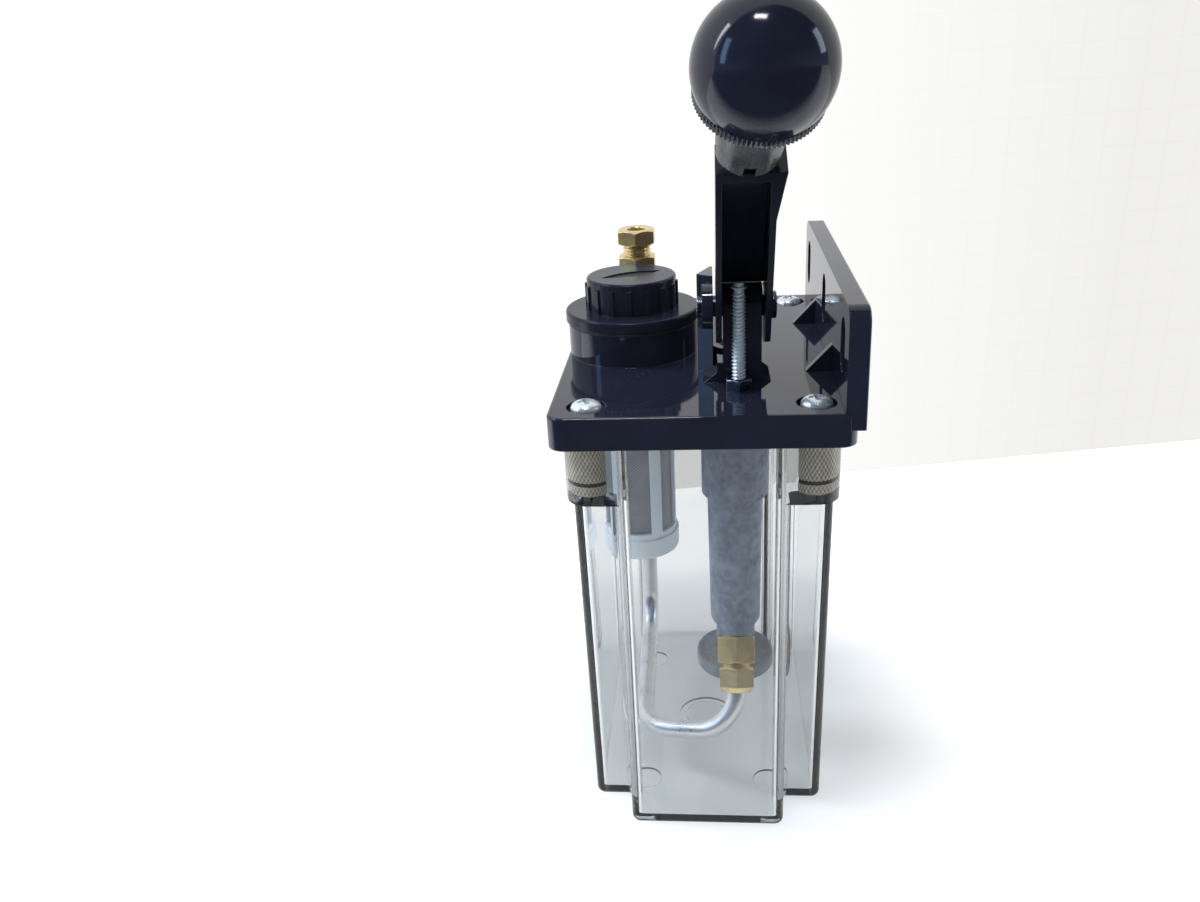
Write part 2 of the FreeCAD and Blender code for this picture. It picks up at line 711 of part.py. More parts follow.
def make_strainer():
    flange = "strainer_flange_width / 2"
    outer = "strainer_width / 2"
    inner = "strainer_width / 2 - strainer_wall"
    foot = "strainer_foot_width / 2"
    body = new_body("strainer_frame")
    outline = [("0", "0"), (foot, "0"), (foot, "strainer_foot_height"), (outer, "strainer_foot_height"),
               (outer, "strainer_length - strainer_flange_thickness"),
               (flange, "strainer_length - strainer_flange_thickness"),
               (flange, "strainer_length"), (inner, "strainer_length"),
               (inner, "strainer_floor"), ("0", "strainer_floor")]
    add_turned(body, "basket", outline)
    add_fillet(body, "foot_round", "strainer_wall", lambda edge: near(edge.BoundBox.ZMax, "0"))
    for index in range(3):
        add_window(body, index, 60.0 * index)
    seat = f"{STRAINER_SEAT} - strainer_length + strainer_flange_thickness"
    return keep(body, "strainer_frame", at((FILLER_X, FILLER_Y, seat)))


def add_window(body, index, angle):
    """One slot right across the basket, which opens two windows."""
    item = body.newObject("PartDesign::SubtractiveBox", f"windows_{index}")
    bind(item, "Length", "window_width")
    bind(item, "Width", "strainer_width + 10")
    bind(item, "Height", "window_height")
    spin = FreeCAD.Rotation(FreeCAD.Vector(0, 0, 1), angle)
    item.Placement = FreeCAD.Placement(FreeCAD.Vector(), spin)
    half_x = "window_width / 2"
    half_y = "(strainer_width + 10) / 2"
    cosine = math.cos(math.radians(angle))
    sine = math.sin(math.radians(angle))
    bind(item, "Placement.Base.x", f"-{cosine} * {half_x} + {sine} * {half_y}")
    bind(item, "Placement.Base.y", f"-{sine} * {half_x} - {cosine} * {half_y}")
    bind(item, "Placement.Base.z", "window_rise")


def make_mesh():
    outer = "strainer_width / 2 - strainer_wall"
    inner = "strainer_width / 2 - strainer_wall - mesh_thickness"
    bottom = "window_rise - 2"
    top = "window_rise + window_height + 2"
    seat = f"{STRAINER_SEAT} - strainer_length + strainer_flange_thickness"
    outline = [(inner, bottom), (outer, bottom), (outer, top), (inner, top)]
    return turned_part("strainer_mesh", outline, at((FILLER_X, FILLER_Y, seat)))


def make_cap():
    flange = "cap_flange_width / 2"
    grip = "cap_grip_width / 2"
    plug = "cap_plug_width / 2"
    hollow = "cap_plug_width / 2 - cap_plug_wall"
    body = new_body("filler_cap")
    grip_top = "cap_flange_thickness + cap_grip_height"
    outline = [("0", "0"), (hollow, "0"), (hollow, "-cap_plug_length"),
               (plug, "-cap_plug_length"), (plug, "0"),
               (flange, "0"), (flange, "cap_flange_thickness"), (grip, "cap_flange_thickness"),
               (grip, grip_top), ("0", grip_top)]
    add_turned(body, "cap", outline)
    add_fillet(body, "cap_edges", "lid_edge", is_cap_edge)
    count = int(value("cap_rib_count"))
    for index in range(count):
        add_cap_rib(body, index, 360.0 * index / count)
    lens = add_lens("cap_recess", "cap_recess_length", "cap_recess_width", "cap_recess_depth + 1")
    spin = FreeCAD.Rotation(FreeCAD.Vector(0, 0, 1), value("cap_recess_turn"))
    lens.Placement = FreeCAD.Placement(FreeCAD.Vector(), spin)
    bind(lens, "Placement.Base.z", f"{grip_top} - cap_recess_depth")
    cap = doc.addObject("Part::Cut", "cap_with_recess")
    cap.Base = body
    cap.Tool = lens
    return keep(cap, "filler_cap", at((FILLER_X, FILLER_Y, CAP_SEAT)))


def is_cap_edge(edge):
    """The rim of the flange and the rim of the grip."""
    box = edge.BoundBox
    on_grip = near(box.ZMin, "cap_flange_thickness + cap_grip_height")
    on_flange = near(box.ZMin, "cap_flange_thickness") and near(box.XMax, "cap_flange_width / 2")
    return near(box.ZLength, "0") and (on_grip or on_flange)


def add_cap_rib(body, index, angle):
    """One upright rib on the cap's grip."""
    item = body.newObject("PartDesign::AdditiveBox", f"cap_rib_{index}")
    reach = "(cap_rib_reach + 1)"
    bind(item, "Length", reach)
    bind(item, "Width", "cap_rib_width")
    bind(item, "Height", "cap_grip_height - cap_rib_drop + 0.2")
    spin = FreeCAD.Rotation(FreeCAD.Vector(0, 0, 1), angle)
    item.Placement = FreeCAD.Placement(FreeCAD.Vector(), spin)
    root = "(cap_grip_width / 2 - 1)"
    cosine = round(math.cos(math.radians(angle)), 9)
    sine = round(math.sin(math.radians(angle)), 9)
    bind(item, "Placement.Base.x", f"{cosine} * {root} + {sine} * cap_rib_width / 2")
    bind(item, "Placement.Base.y", f"{sine} * {root} - {cosine} * cap_rib_width / 2")
    bind(item, "Placement.Base.z", "cap_flange_thickness - 0.2")


def add_lens(name, length, width, height):
    """A solid with a pointed oval plan: where two round discs overlap."""
    bow = f"(({length}) * ({length}) / ({width}) + ({width})) / 4"
    discs = []
    for side in (-1, 1):
        disc = doc.addObject("Part::Cylinder", f"{name}_disc")
        bind(disc, "Radius", bow)
        bind(disc, "Height", height)
        bind(disc, "Placement.Base.y", f"{side} * ({bow} - ({width}) / 2)")
        discs.append(disc)
    lens = doc.addObject("Part::Common", name)
    lens.Base, lens.Tool = discs
    return lens


def make_cap_seal():
    outer = "filler_boss_width / 2"
    inner = "filler_seat_width / 2"
    outline = [(inner, "0"), (outer, "0"), (outer, "cap_seal_thickness"), (inner, "cap_seal_thickness")]
    seat = (FILLER_X, FILLER_Y, f"{LID_TOP} + filler_boss_height")
    return turned_part("cap_seal", outline, at(seat))


# Pump


def make_barrel():
    body = new_body("pump_barrel")
    upper = "barrel_upper_width / 2"
    lower = "barrel_lower_width / 2"
    bottom = "barrel_bottom_width / 2"
    spigot = "barrel_spigot_width / 2"
    bore = "barrel_bore_width / 2"
    step = "-barrel_upper_length"
    outline = [("0", "-barrel_length"), (bottom, "-barrel_length"),
               (lower, f"{step} - barrel_step_length"), (upper, step),
               (upper, "0"), (spigot, "0"), (spigot, "barrel_spigot_length"), (bore, "barrel_spigot_length"),
               (bore, "barrel_bottom_thickness - barrel_length"),
               ("0", "barrel_bottom_thickness - barrel_length")]
    add_turned(body, "barrel", outline)
    add_fillet(body, "barrel_round", "barrel_corner",
               lambda edge: near(edge.BoundBox.ZMax, "-barrel_length"))
    block_top = "foot_block_length + barrel_corner"
    block = ("0", "filter_back", "-barrel_length - foot_block_length")
    add_round(body, "foot_block", "foot_block_width", block_top, block)
    add_delivery_seat(body)
    add_round(body, "inlet_bore", "inlet_bore_width", "barrel_bottom_thickness + foot_block_length",
              ("0", "inlet_bore_width", "-barrel_length - foot_block_length / 2"), cut=True)
    add_round(body, "ball_chamber", "ball_chamber_width", "stem_sink + ball_chamber_length + 1",
              ("0", "filter_back", "-barrel_length - foot_block_length - 1"), cut=True)
    add_round(body, "stem_seat", "stem_width", "stem_sink + 1",
              ("0", "filter_back", "-barrel_length - foot_block_length - 1"), cut=True)
    return keep(body, "pump_barrel", at((PUMP_X, PUMP_Y, LID_BOTTOM)))


def delivery_turn():
    """The rotation that takes +Z to the way the delivery fitting points, down and forward."""
    return FreeCAD.Rotation(FreeCAD.Vector(1, 0, 0), 180.0 - value("delivery_tilt"))


def delivery_spot(distance):
    """A point on the delivery fitting's axis, measured from the middle of the barrel's bottom."""
    start = point((PUMP_X, f"{PUMP_Y} - delivery_forward", f"{BARREL_BOTTOM} + barrel_corner"))
    return start + delivery_turn().multVec(FreeCAD.Vector(0, 0, distance))


def add_delivery_seat(body):
    """The slanted round seat of the delivery fitting and its bore, on the barrel's bottom."""
    bore_start = "(delivery_seat_reach - delivery_spigot_length)"
    for name, kind, width, start in (
            ("delivery_seat", "AdditiveCylinder", "delivery_seat_width", "0"),
            ("delivery_bore", "SubtractiveCylinder", "delivery_spigot_width", bore_start)):
        item = body.newObject(f"PartDesign::{kind}", name)
        bind(item, "Radius", f"{width} / 2")
        bind(item, "Height", "delivery_seat_reach")
        item.Placement = FreeCAD.Placement(FreeCAD.Vector(), delivery_turn())
        bind(item, "Placement.Base.y", f"-delivery_forward - {start} * sin(delivery_tilt)")
        bind(item, "Placement.Base.z", f"barrel_corner - barrel_length - {start} * cos(delivery_tilt)")


def make_rod_seal():
    outer = "rod_seal_width / 2"
    inner = "rod_width / 2 + rod_clearance"
    outline = [(inner, "0"), (outer, "0"), (outer, "rod_seal_height"), (inner, "rod_seal_height")]
    seat = (PUMP_X, PUMP_Y, f"{LID_TOP} + rod_guide_height - rod_seal_height")
    return turned_part("rod_seal", outline, at(seat))


def make_piston():
    full = "barrel_bore_width / 2 - piston_clearance"
    groove = "barrel_bore_width / 2 - piston_clearance - piston_groove_depth"
    low = "(piston_length - piston_groove_width) / 2"
    high = "(piston_length + piston_groove_width) / 2"
    outline = [("0", "0"), (full, "0"), (full, low), (groove, low), (groove, high), (full, high),
               (full, "piston_length"), ("0", "piston_length")]
    return turned_part("piston", outline, at((PUMP_X, PUMP_Y, PISTON_BOTTOM)))


def make_piston_seal():
    outer = "barrel_bore_width / 2 - piston_clearance / 2"
    inner = "barrel_bore_width / 2 - piston_clearance - piston_groove_depth"
    low = "(piston_length - piston_groove_width) / 2"
    high = "(piston_length + piston_groove_width) / 2"
    outline = [(inner, low), (outer, low), (outer, high), (inner, high)]
    return turned_part("piston_seal", outline, at((PUMP_X, PUMP_Y, PISTON_BOTTOM)))


def make_piston_rod():
    body = new_body("piston_rod")
    length = f"{LINK_Z} - {PISTON_TOP}"
    add_round(body, "rod", "rod_width", length)
    add_block(body, "eye", ("rod_eye_thickness", "rod_eye_width", "rod_eye_height"),
              ("-rod_eye_thickness / 2", "-rod_eye_width / 2", f"{length} - rod_eye_height / 2"))
    add_fillet(body, "eye_round", "rod_eye_thickness / 3", is_eye_edge)
    slot = "link_slot_travel"
    width = "(link_pin_width + link_slot_play)"
    add_block(body, "link_slot", ("rod_eye_thickness + 2", slot, width),
              ("-rod_eye_thickness / 2 - 1", f"-{slot} / 2", f"{length} - {width} / 2"), cut=True)
    for end in (-1, 1):
        name = "link_slot_front" if end < 0 else "link_slot_back"
        add_round(body, name, width, "rod_eye_thickness + 2",
                  ("-rod_eye_thickness / 2 - 1", f"{end} * {slot} / 2", length), "x", cut=True)
    return keep(body, "piston_rod", at((PUMP_X, PUMP_Y, PISTON_TOP)))


def is_eye_edge(edge):
    """The edges of the eye that run along the link pin."""
    return near(edge.BoundBox.XLength, "rod_eye_thickness") and near(edge.Length, "rod_eye_thickness")


def make_spring():
    """Coil spring of six-sided wire round the piston rod, from the piston's top to the lid."""
    wire = value("spring_wire")
    radius = value("(spring_width - spring_wire) / 2")
    bottom = value(f"{PISTON_TOP} + spring_wire / 2 + spring_gap")
    top = value(f"{LID_BOTTOM} + barrel_spigot_length - spring_wire / 2 - spring_gap")
    pitch = (top - bottom) / value("spring_turns")
    helix = Part.makeHelix(pitch, top - bottom, radius)
    outward = FreeCAD.Vector(1, 0, 0)
    upward = FreeCAD.Vector(0, 2 * math.pi * radius, pitch).normalize().cross(outward)
    corners = []
    for step in range(7):
        angle = math.radians(60 * step + 30)
        sideways = radius + wire / 2 * math.cos(angle)
        corners.append(outward * sideways + upward * (wire / 2 * math.sin(angle)))
    coil = Part.Wire(helix).makePipeShell([Part.makePolygon(corners)], True, True)
    feature = doc.addObject("Part::Feature", "spring_coil")
    feature.Shape = coil
    placement = FreeCAD.Placement(FreeCAD.Vector(value(PUMP_X), value(PUMP_Y), bottom), FreeCAD.Rotation())
    return keep(feature, "piston_spring", placement)


def make_filter():
    body = new_body("suction_filter")
    add_round(body, "felt", "filter_width", "filter_thickness", ("0", "0", "-filter_thickness"))
    add_fillet(body, "felt_edges", "filter_edge", lambda edge: near(edge.BoundBox.XLength, "filter_width"))
    add_round(body, "stem_hole", "stem_width", "filter_thickness",
              ("0", "0", "-filter_thickness / 2"), cut=True)
    return keep(body, "suction_filter", at((PUMP_X, FILTER_Y, FILTER_TOP)))


def make_stem():
    outer = "stem_width / 2"
    bore = "stem_bore_width / 2"
    top = "filter_thickness / 2 + filter_gap + stem_sink"
    outline = [(bore, "0"), (outer, "0"), (outer, top), (bore, top)]
    middle = at((PUMP_X, FILTER_Y, f"{FILTER_TOP} - filter_thickness / 2"))
    return turned_part("filter_stem", outline, middle)


def make_suction_ball():
    ball = doc.addObject("Part::Sphere", "check_ball")
    bind(ball, "Radius", "check_ball_width / 2")
    contact = "sqrt(check_ball_width * check_ball_width - stem_bore_width * stem_bore_width) / 2"
    return keep(ball, "suction_ball", at((PUMP_X, FILTER_Y, f"{BALL_FLOOR} + {contact} + check_ball_gap")))


# Delivery line


def delivery_placement(distance):
    return FreeCAD.Placement(delivery_spot(distance), delivery_turn())


def make_delivery_fitting():
    body = new_body("delivery_fitting")
    add_hex(body, "hexagon", "delivery_flats", "delivery_hex_length")
    add_round(body, "spigot", "delivery_spigot_width", "delivery_spigot_length",
              ("0", "0", "-delivery_spigot_length"))
    add_round(body, "thread", "delivery_thread_width", "delivery_thread_length",
              ("0", "0", "delivery_hex_length"))
    add_round(body, "tube_socket", "tube_width + 2 * tube_fit",
              "delivery_thread_length + delivery_hex_length / 2 + 1",
              ("0", "0", "delivery_hex_length / 2"), cut=True)
    add_round(body, "passage", "stem_bore_width", "delivery_hex_length + delivery_spigot_length",
              ("0", "0", "-delivery_spigot_length - 1"), cut=True)
    return keep(body, "delivery_fitting", delivery_placement(value("delivery_seat_reach")))


def make_delivery_nut():
    body = new_body("delivery_nut")
    add_hex(body, "hexagon_nut", "delivery_nut_flats", "delivery_nut_length")
    add_fillet(body, "nut_round", "tube_wall", is_nut_end)
    add_round(body, "nut_thread", "delivery_thread_width", "delivery_thread_length - delivery_nut_gap + 1",
              ("0", "0", "-1"), cut=True)
    add_round(body, "nut_bore", "tube_width + 2 * tube_fit", "delivery_nut_length + 2",
              ("0", "0", "-1"), cut=True)
    start = value("delivery_seat_reach + delivery_hex_length + delivery_nut_gap")
    return keep(body, "delivery_nut", delivery_placement(start))


def is_nut_end(edge):
    """The outer hexagon at the end where the tube leaves the nut."""
    return near(edge.BoundBox.ZMin, "delivery_nut_length")


def bend_path(corners, radius):
    """Straight runs joined by tangent arcs of one radius, as a wire."""
    edges = []
    last = corners[0]
    for before, corner, after in zip(corners, corners[1:], corners[2:]):
        way_in = (before - corner).normalize()
        way_out = (after - corner).normalize()
        half = way_in.getAngle(way_out) / 2
        reach = radius / math.tan(half)
        start = corner + way_in * reach
        finish = corner + way_out * reach
        middle_way = (way_in + way_out).normalize()
        middle = corner + middle_way * (radius / math.sin(half) - radius)
        edges.append(Part.LineSegment(last, start).toShape())
        edges.append(Part.Arc(start, middle, finish).toShape())
        last = finish
    edges.append(Part.LineSegment(last, corners[-1]).toShape())
    return Part.Wire(edges)


def make_tube():
    """Bent metal tube from the delivery fitting round the strainer to the outlet."""
    socket = value("delivery_seat_reach + delivery_hex_length / 2 + tube_end_gap")
    leave = value("delivery_seat_reach + delivery_hex_length + delivery_nut_gap"
                  " + delivery_nut_length + tube_drop")
    start = delivery_spot(socket)
    low_front = delivery_spot(leave)
    left_x = value(FILLER_X)
    low_left = FreeCAD.Vector(left_x, -value("tube_run_back"), value("tube_run_height"))
    low_back = FreeCAD.Vector(left_x, value(OUTLET_Y), value("tube_rear_height"))
    end = FreeCAD.Vector(left_x, value(OUTLET_Y), value(f"{LID_BOTTOM} + lid_thickness / 2"))
    path = bend_path([start, low_front, low_left, low_back, end], value("tube_bend"))
    heading = (low_front - start).normalize()
    outer = Part.Wire(Part.makeCircle(value("tube_width / 2"), start, heading))
    inner = Part.Wire(Part.makeCircle(value("tube_width / 2 - tube_wall"), start, heading))
    tube = path.makePipeShell([outer], True, False).cut(path.makePipeShell([inner], True, False))
    feature = doc.addObject("Part::Feature", "bent_tube")
    feature.Shape = tube.Solids[0]
    return keep(feature, "delivery_tube")


def make_outlet_fitting():
    body = new_body("outlet_fitting")
    add_hex(body, "outlet_hexagon", "outlet_hex_flats", "outlet_hex_height")
    shank = "lid_thickness + outlet_boss_height + outlet_shank_reach"
    add_round(body, "shank", "outlet_thread_width", shank, ("0", "0", f"-({shank})"))
    add_round(body, "outlet_thread", "outlet_thread_width", "outlet_thread_height",
              ("0", "0", "outlet_hex_height"))
    add_round(body, "riser_socket", "tube_width + 2 * tube_fit",
              "outlet_shank_reach + lid_thickness / 2 + 1", ("0", "0", f"-({shank}) - 1"), cut=True)
    add_round(body, "outlet_passage", "tube_width - 2 * tube_wall", f"{shank} + outlet_hex_height + 1",
              ("0", "0", f"-({shank})"), cut=True)
    add_round(body, "outlet_socket", "tube_width + 2 * tube_fit",
              "outlet_thread_height + outlet_hex_height / 2 + 1",
              ("0", "0", "outlet_hex_height / 2"), cut=True)
    return keep(body, "outlet_fitting", at((FILLER_X, OUTLET_Y, OUTLET_SEAT)))


def make_outlet_nut():
    body = new_body("outlet_nut")
    add_hex(body, "outlet_nut_hexagon", "outlet_nut_flats", "outlet_nut_height")
    depth = "outlet_thread_height - outlet_nut_gap"
    add_round(body, "outlet_nut_thread", "outlet_thread_width", f"{depth} + 1", ("0", "0", "-1"), cut=True)
    add_round(body, "outlet_nut_bore", "tube_width + 2 * tube_fit", "outlet_nut_height + 2",
              ("0", "0", "-1"), cut=True)
    seat = f"{OUTLET_SEAT} + outlet_hex_height + outlet_nut_gap"
    return keep(body, "outlet_nut", at((FILLER_X, OUTLET_Y, seat)))


def make_outlet_backnut():
    body = new_body("outlet_backnut")
    add_hex(body, "backnut_hexagon", "outlet_backnut_flats", "outlet_backnut_height")
    add_round(body, "backnut_thread", "outlet_thread_width", "outlet_backnut_height + 2",
              ("0", "0", "-1"), cut=True)
    return keep(body, "outlet_backnut", at((FILLER_X, OUTLET_Y, f"{LID_BOTTOM} - outlet_backnut_height")))


# Lever, modelled upright about its pivot and then leaned forward


def lever_placement():
    lean = FreeCAD.Rotation(FreeCAD.Vector(1, 0, 0), value("lever_lean"))
    return at(("lever_centre", PIVOT_Y, PIVOT_Z), lean)


def neck_placement():
    """The knob's own frame in the lever's: at the channel's top, bent forward and tilted to the right."""
    bend = FreeCAD.Rotation(FreeCAD.Vector(1, 0, 0), value("neck_bend"))
    tilt = FreeCAD.Rotation(FreeCAD.Vector(0, 1, 0), value("neck_tilt"))
    root = at(("0", "(lever_top_back - lever_front) / 2", "lever_top"))
    return root.multiply(FreeCAD.Placement(FreeCAD.Vector(), bend.multiply(tilt)))


def make_lever():
    body = new_body("lever")
    left = "(-lever_width / 2)"
    link_y = "((pivot_front - pump_front) * cos(lever_lean) - link_arm_drop * sin(lever_lean))"
    link_z = "(-(pivot_front - pump_front) * sin(lever_lean) - link_arm_drop * cos(lever_lean))"
    lobe_front, lobe_back = f"{link_y} - lever_lobe", f"{link_y} + lever_lobe"
    lobe_low, lobe_high = f"{link_z} - lever_lobe", f"{link_z} + lever_lobe"
    side = [("-lever_front", "0"), ("lever_chin - lever_front", "-lever_chin"), (lobe_front, lobe_low),
            (lobe_back, lobe_low), (lobe_back, lobe_high),
            ("lever_back", "lever_web_start"), ("lever_top_back", "lever_top"),
            ("-lever_front", "lever_top")]
    add_pad(body, "lever_side", "YZ", side, "lever_width", left)
    add_fillet(body, "lobe_round", "lever_lobe_corner", is_lobe_edge)
    web_y = "lever_back - lever_wall"
    web_top_y = "lever_top_back - lever_wall"
    under = f"{link_z} - 2 * lever_lobe"
    space = [("-lever_front - 1", under), (f"{link_y} + 2 * lever_lobe", under),
             (f"{link_y} + 2 * lever_lobe", "lever_web_start"), (web_y, "lever_web_start"),
             (web_top_y, "lever_top + 1"), ("-lever_front - 1", "lever_top + 1")]
    inside = "(lever_width - 2 * lever_wall)"
    add_pad(body, "channel", "YZ", space, inside, f"(-{inside} / 2)", cut=True)
    outer = "lever_width / 2"
    flare = [(f"{outer} - lever_wall", "lever_top"),
             (f"{outer} - lever_wall / 2", "lever_top - lever_flare_length"),
             (outer, "lever_top - lever_flare_length"), (f"{outer} + lever_flare", "lever_top")]
    add_pad(body, "flare", "XZ", flare, "lever_front + lever_top_back", "-lever_top_back")
    add_neck(body)
    reach = ("-lever_width / 2 - 1", "0", "0")
    add_round(body, "pivot_hole", "pivot_pin_width + 2 * pivot_clearance", "lever_width + 2",
              reach, "x", cut=True)
    add_round(body, "link_hole", "link_pin_width", "lever_width + 2",
              ("-lever_width / 2 - 1", link_y, link_z), "x", cut=True)
    return keep(body, "lever", lever_placement())


def is_lobe_edge(edge):
    """The edges across the lever's lower end."""
    return near(edge.BoundBox.XLength, "lever_width") and edge.BoundBox.ZMax < value("lever_web_start / 2")


def add_neck(body):
    """The closed top of the channel and the round shank that carries the knob."""
    size = ("lever_width", "lever_front + lever_top_back", "lever_bolster")
    add_block(body, "bolster", size, ("-lever_width / 2", "-lever_front", "lever_top - lever_bolster"))
    shank = body.newObject("PartDesign::AdditiveCylinder", "shank")
    bind(shank, "Radius", "lever_shank_width / 2")
    bind(shank, "Height", "knob_distance + lever_bolster / 2 - knob_width / 2 + lever_shank_sink")
    shank.Placement = neck_placement().multiply(at(("0", "0", "-lever_bolster / 2")))
    return shank


def knob_placement(distance):
    neck = lever_placement().multiply(neck_placement())
    return neck.multiply(FreeCAD.Placement(FreeCAD.Vector(0, 0, distance), FreeCAD.Rotation()))


def make_sleeve():
    body = new_body("knob_sleeve")
    bore = "lever_shank_width / 2"
    low = "sleeve_width / 2"
    high = "sleeve_top_width / 2"
    outline = [(bore, "0"), (low, "0"), (high, "sleeve_length"), (bore, "sleeve_length")]
    add_turned(body, "sleeve", outline)
    across = "-sleeve_slot_width / 2"
    reach = "sleeve_top_width / 2 + 1"
    corners = ((0.0, (across, f"-({reach})", "-1")), (90.0, (reach, across, "-1")))
    for index, (turn, corner) in enumerate(corners):
        item = body.newObject("PartDesign::SubtractiveBox", f"sleeve_slot_{index}")
        bind(item, "Length", "sleeve_slot_width")
        bind(item, "Width", "sleeve_top_width + 2")
        bind(item, "Height", "sleeve_slot_height + 1")
        place(item, corner, turn=turn)
    start = value("knob_distance - knob_width / 2 - sleeve_length + sleeve_sink")
    return keep(body, "knob_sleeve", knob_placement(start))


def make_knob():
    ball = doc.addObject("Part::Sphere", "ball")
    bind(ball, "Radius", "knob_width / 2")
    band = doc.addObject("Part::Cylinder", "knob_band")
    bind(band, "Radius", "knob_band_width / 2")
    bind(band, "Height", "knob_band_height")
    bind(band, "Placement.Base.z", "-knob_band_drop - knob_band_height / 2")
    shape = doc.addObject("Part::Fuse", "banded_ball")
    shape.Base = ball
    shape.Tool = band
    bore = doc.addObject("Part::Cylinder", "knob_bore")
    bind(bore, "Radius", "lever_shank_width / 2")
    bind(bore, "Height", "knob_bore_depth + 2")
    bind(bore, "Placement.Base.z", "-knob_width / 2 - 2")
    mouth = doc.addObject("Part::Cylinder", "knob_mouth")
    bind(mouth, "Radius", "sleeve_top_width / 2 + sleeve_fit")
    bind(mouth, "Height", "2 + sleeve_sink + sleeve_fit")
    bind(mouth, "Placement.Base.z", "-knob_width / 2 - 2")
    tools = doc.addObject("Part::Fuse", "knob_tools")
    tools.Base = bore
    tools.Tool = mouth
    knob = doc.addObject("Part::Cut", "bored_ball")
    knob.Base = shape
    knob.Tool = tools
    return keep(knob, "ball_knob", knob_placement(value("knob_distance")))


def make_pivot_pin():
    body = new_body("pivot_pin")
    reach = "lever_centre + lever_width / 2 + pin_end_gap - ear_left"
    add_round(body, "pin", "pivot_pin_width", reach)
    add_round(body, "pin_head", "pin_head_width", "pin_head_length", ("0", "0", reach))
    add_fillet(body, "head_round", "pin_head_round", is_pin_end)
    return keep(body, "pivot_pin", at(("ear_left", PIVOT_Y, PIVOT_Z), ALONG["x"]))


def is_pin_end(edge):
    """The outer rim of the pin's head."""
    pin_end = "lever_centre + lever_width / 2 + pin_end_gap - ear_left + pin_head_length"
    return near(edge.BoundBox.ZMin, pin_end)


def make_link_pin():
    pin = doc.addObject("Part::Cylinder", "cross_pin")
    bind(pin, "Radius", "link_pin_width / 2")
    bind(pin, "Height", "lever_width")
    return keep(pin, "link_pin", at(("lever_centre - lever_width / 2", PUMP_Y, LINK_Z), ALONG["x"]))


# Stroke stop


def make_stop():
    rod = "stop_width / 2"
    neck = "stop_neck_width / 2"
    ring = "stop_ring_width / 2"
    tip = "stop_tip_width / 2"
    top = "stop_rise + stop_sink"
    tip_low = f"{top} - stop_tip_height"
    ring_low = f"{tip_low} - stop_ring_height"
    neck_low = f"{ring_low} - stop_neck_height"
    outline = [("0", "0"), (rod, "0"), (rod, neck_low), (neck, neck_low), (neck, ring_low), (ring, ring_low),
               (ring, tip_low), (tip, tip_low), (f"{tip} - stop_tip_bevel", top), ("0", top)]
    return turned_part("stroke_screw", outline, at(("stop_right", "-stop_front", f"{LID_TOP} - stop_sink")))


def make_lock_nut():
    body = new_body("lock_nut")
    add_hex(body, "lock_hexagon", "lock_nut_flats", "lock_nut_height")
    add_round(body, "lock_thread", "stop_width", "lock_nut_height + 2", ("0", "0", "-1"), cut=True)
    return keep(body, "lock_nut", at(("stop_right", "-stop_front", LID_TOP)))


def check_and_write():
    """Recompute, look for failed objects and bad shapes, then write one file for each sub-part."""
    doc.recompute()
    bad = [item.Name for item in doc.Objects if "Invalid" in item.State or "Error" in item.State]
    if bad:
        raise RuntimeError(f"failed objects: {bad}")
    for label, item in nodes.items():
        if item.Shape.isNull() or not item.Shape.isValid() or not item.Shape.Solids:
            raise RuntimeError(f"bad shape: {label}")
    os.makedirs("parts", exist_ok=True)
    for label, item in nodes.items():
        item.Shape.exportStep(f"parts/{label}.step")
        print(f"{label}: {len(item.Shape.Solids)} solid, {item.Shape.Volume:.0f} mm3")


MAKERS = [
    make_reservoir, make_gasket, make_lid, make_side_plate, make_screws, make_inserts, make_strainer,
    make_mesh, make_cap,
    make_cap_seal, make_barrel, make_rod_seal, make_piston, make_piston_seal, make_piston_rod, make_spring,
    make_filter, make_stem, make_suction_ball, make_delivery_fitting, make_delivery_nut, make_tube,
    make_outlet_fitting, make_outlet_nut, make_outlet_backnut, make_lever, make_sleeve, make_knob,
    make_pivot_pin, make_link_pin, make_stop, make_lock_nut,
]

for make in MAKERS:
    make()
check_and_write()
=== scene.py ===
import math

import bmesh
import bpy
from mathutils import Matrix, Vector


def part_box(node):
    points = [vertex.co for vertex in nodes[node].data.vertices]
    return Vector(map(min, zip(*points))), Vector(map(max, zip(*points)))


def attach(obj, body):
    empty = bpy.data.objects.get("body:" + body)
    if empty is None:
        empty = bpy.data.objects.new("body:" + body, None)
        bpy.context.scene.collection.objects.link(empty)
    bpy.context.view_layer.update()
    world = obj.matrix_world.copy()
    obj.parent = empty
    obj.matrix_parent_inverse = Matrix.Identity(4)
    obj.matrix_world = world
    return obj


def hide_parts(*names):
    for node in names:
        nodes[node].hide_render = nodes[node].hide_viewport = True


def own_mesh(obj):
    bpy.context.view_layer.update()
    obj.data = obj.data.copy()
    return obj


# Hand lubrication pump with a clear tank: finishes, fine metalwork, camera and light.
# Metres; lengths written in millimetres are multiplied by MM.

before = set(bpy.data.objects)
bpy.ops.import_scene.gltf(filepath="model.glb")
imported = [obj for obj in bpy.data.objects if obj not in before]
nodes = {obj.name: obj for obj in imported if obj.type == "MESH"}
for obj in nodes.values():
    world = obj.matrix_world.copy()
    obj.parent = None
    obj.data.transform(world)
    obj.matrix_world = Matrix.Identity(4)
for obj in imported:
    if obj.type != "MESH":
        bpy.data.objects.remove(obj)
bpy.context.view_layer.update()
MM = 0.001
TURN = 2 * math.pi

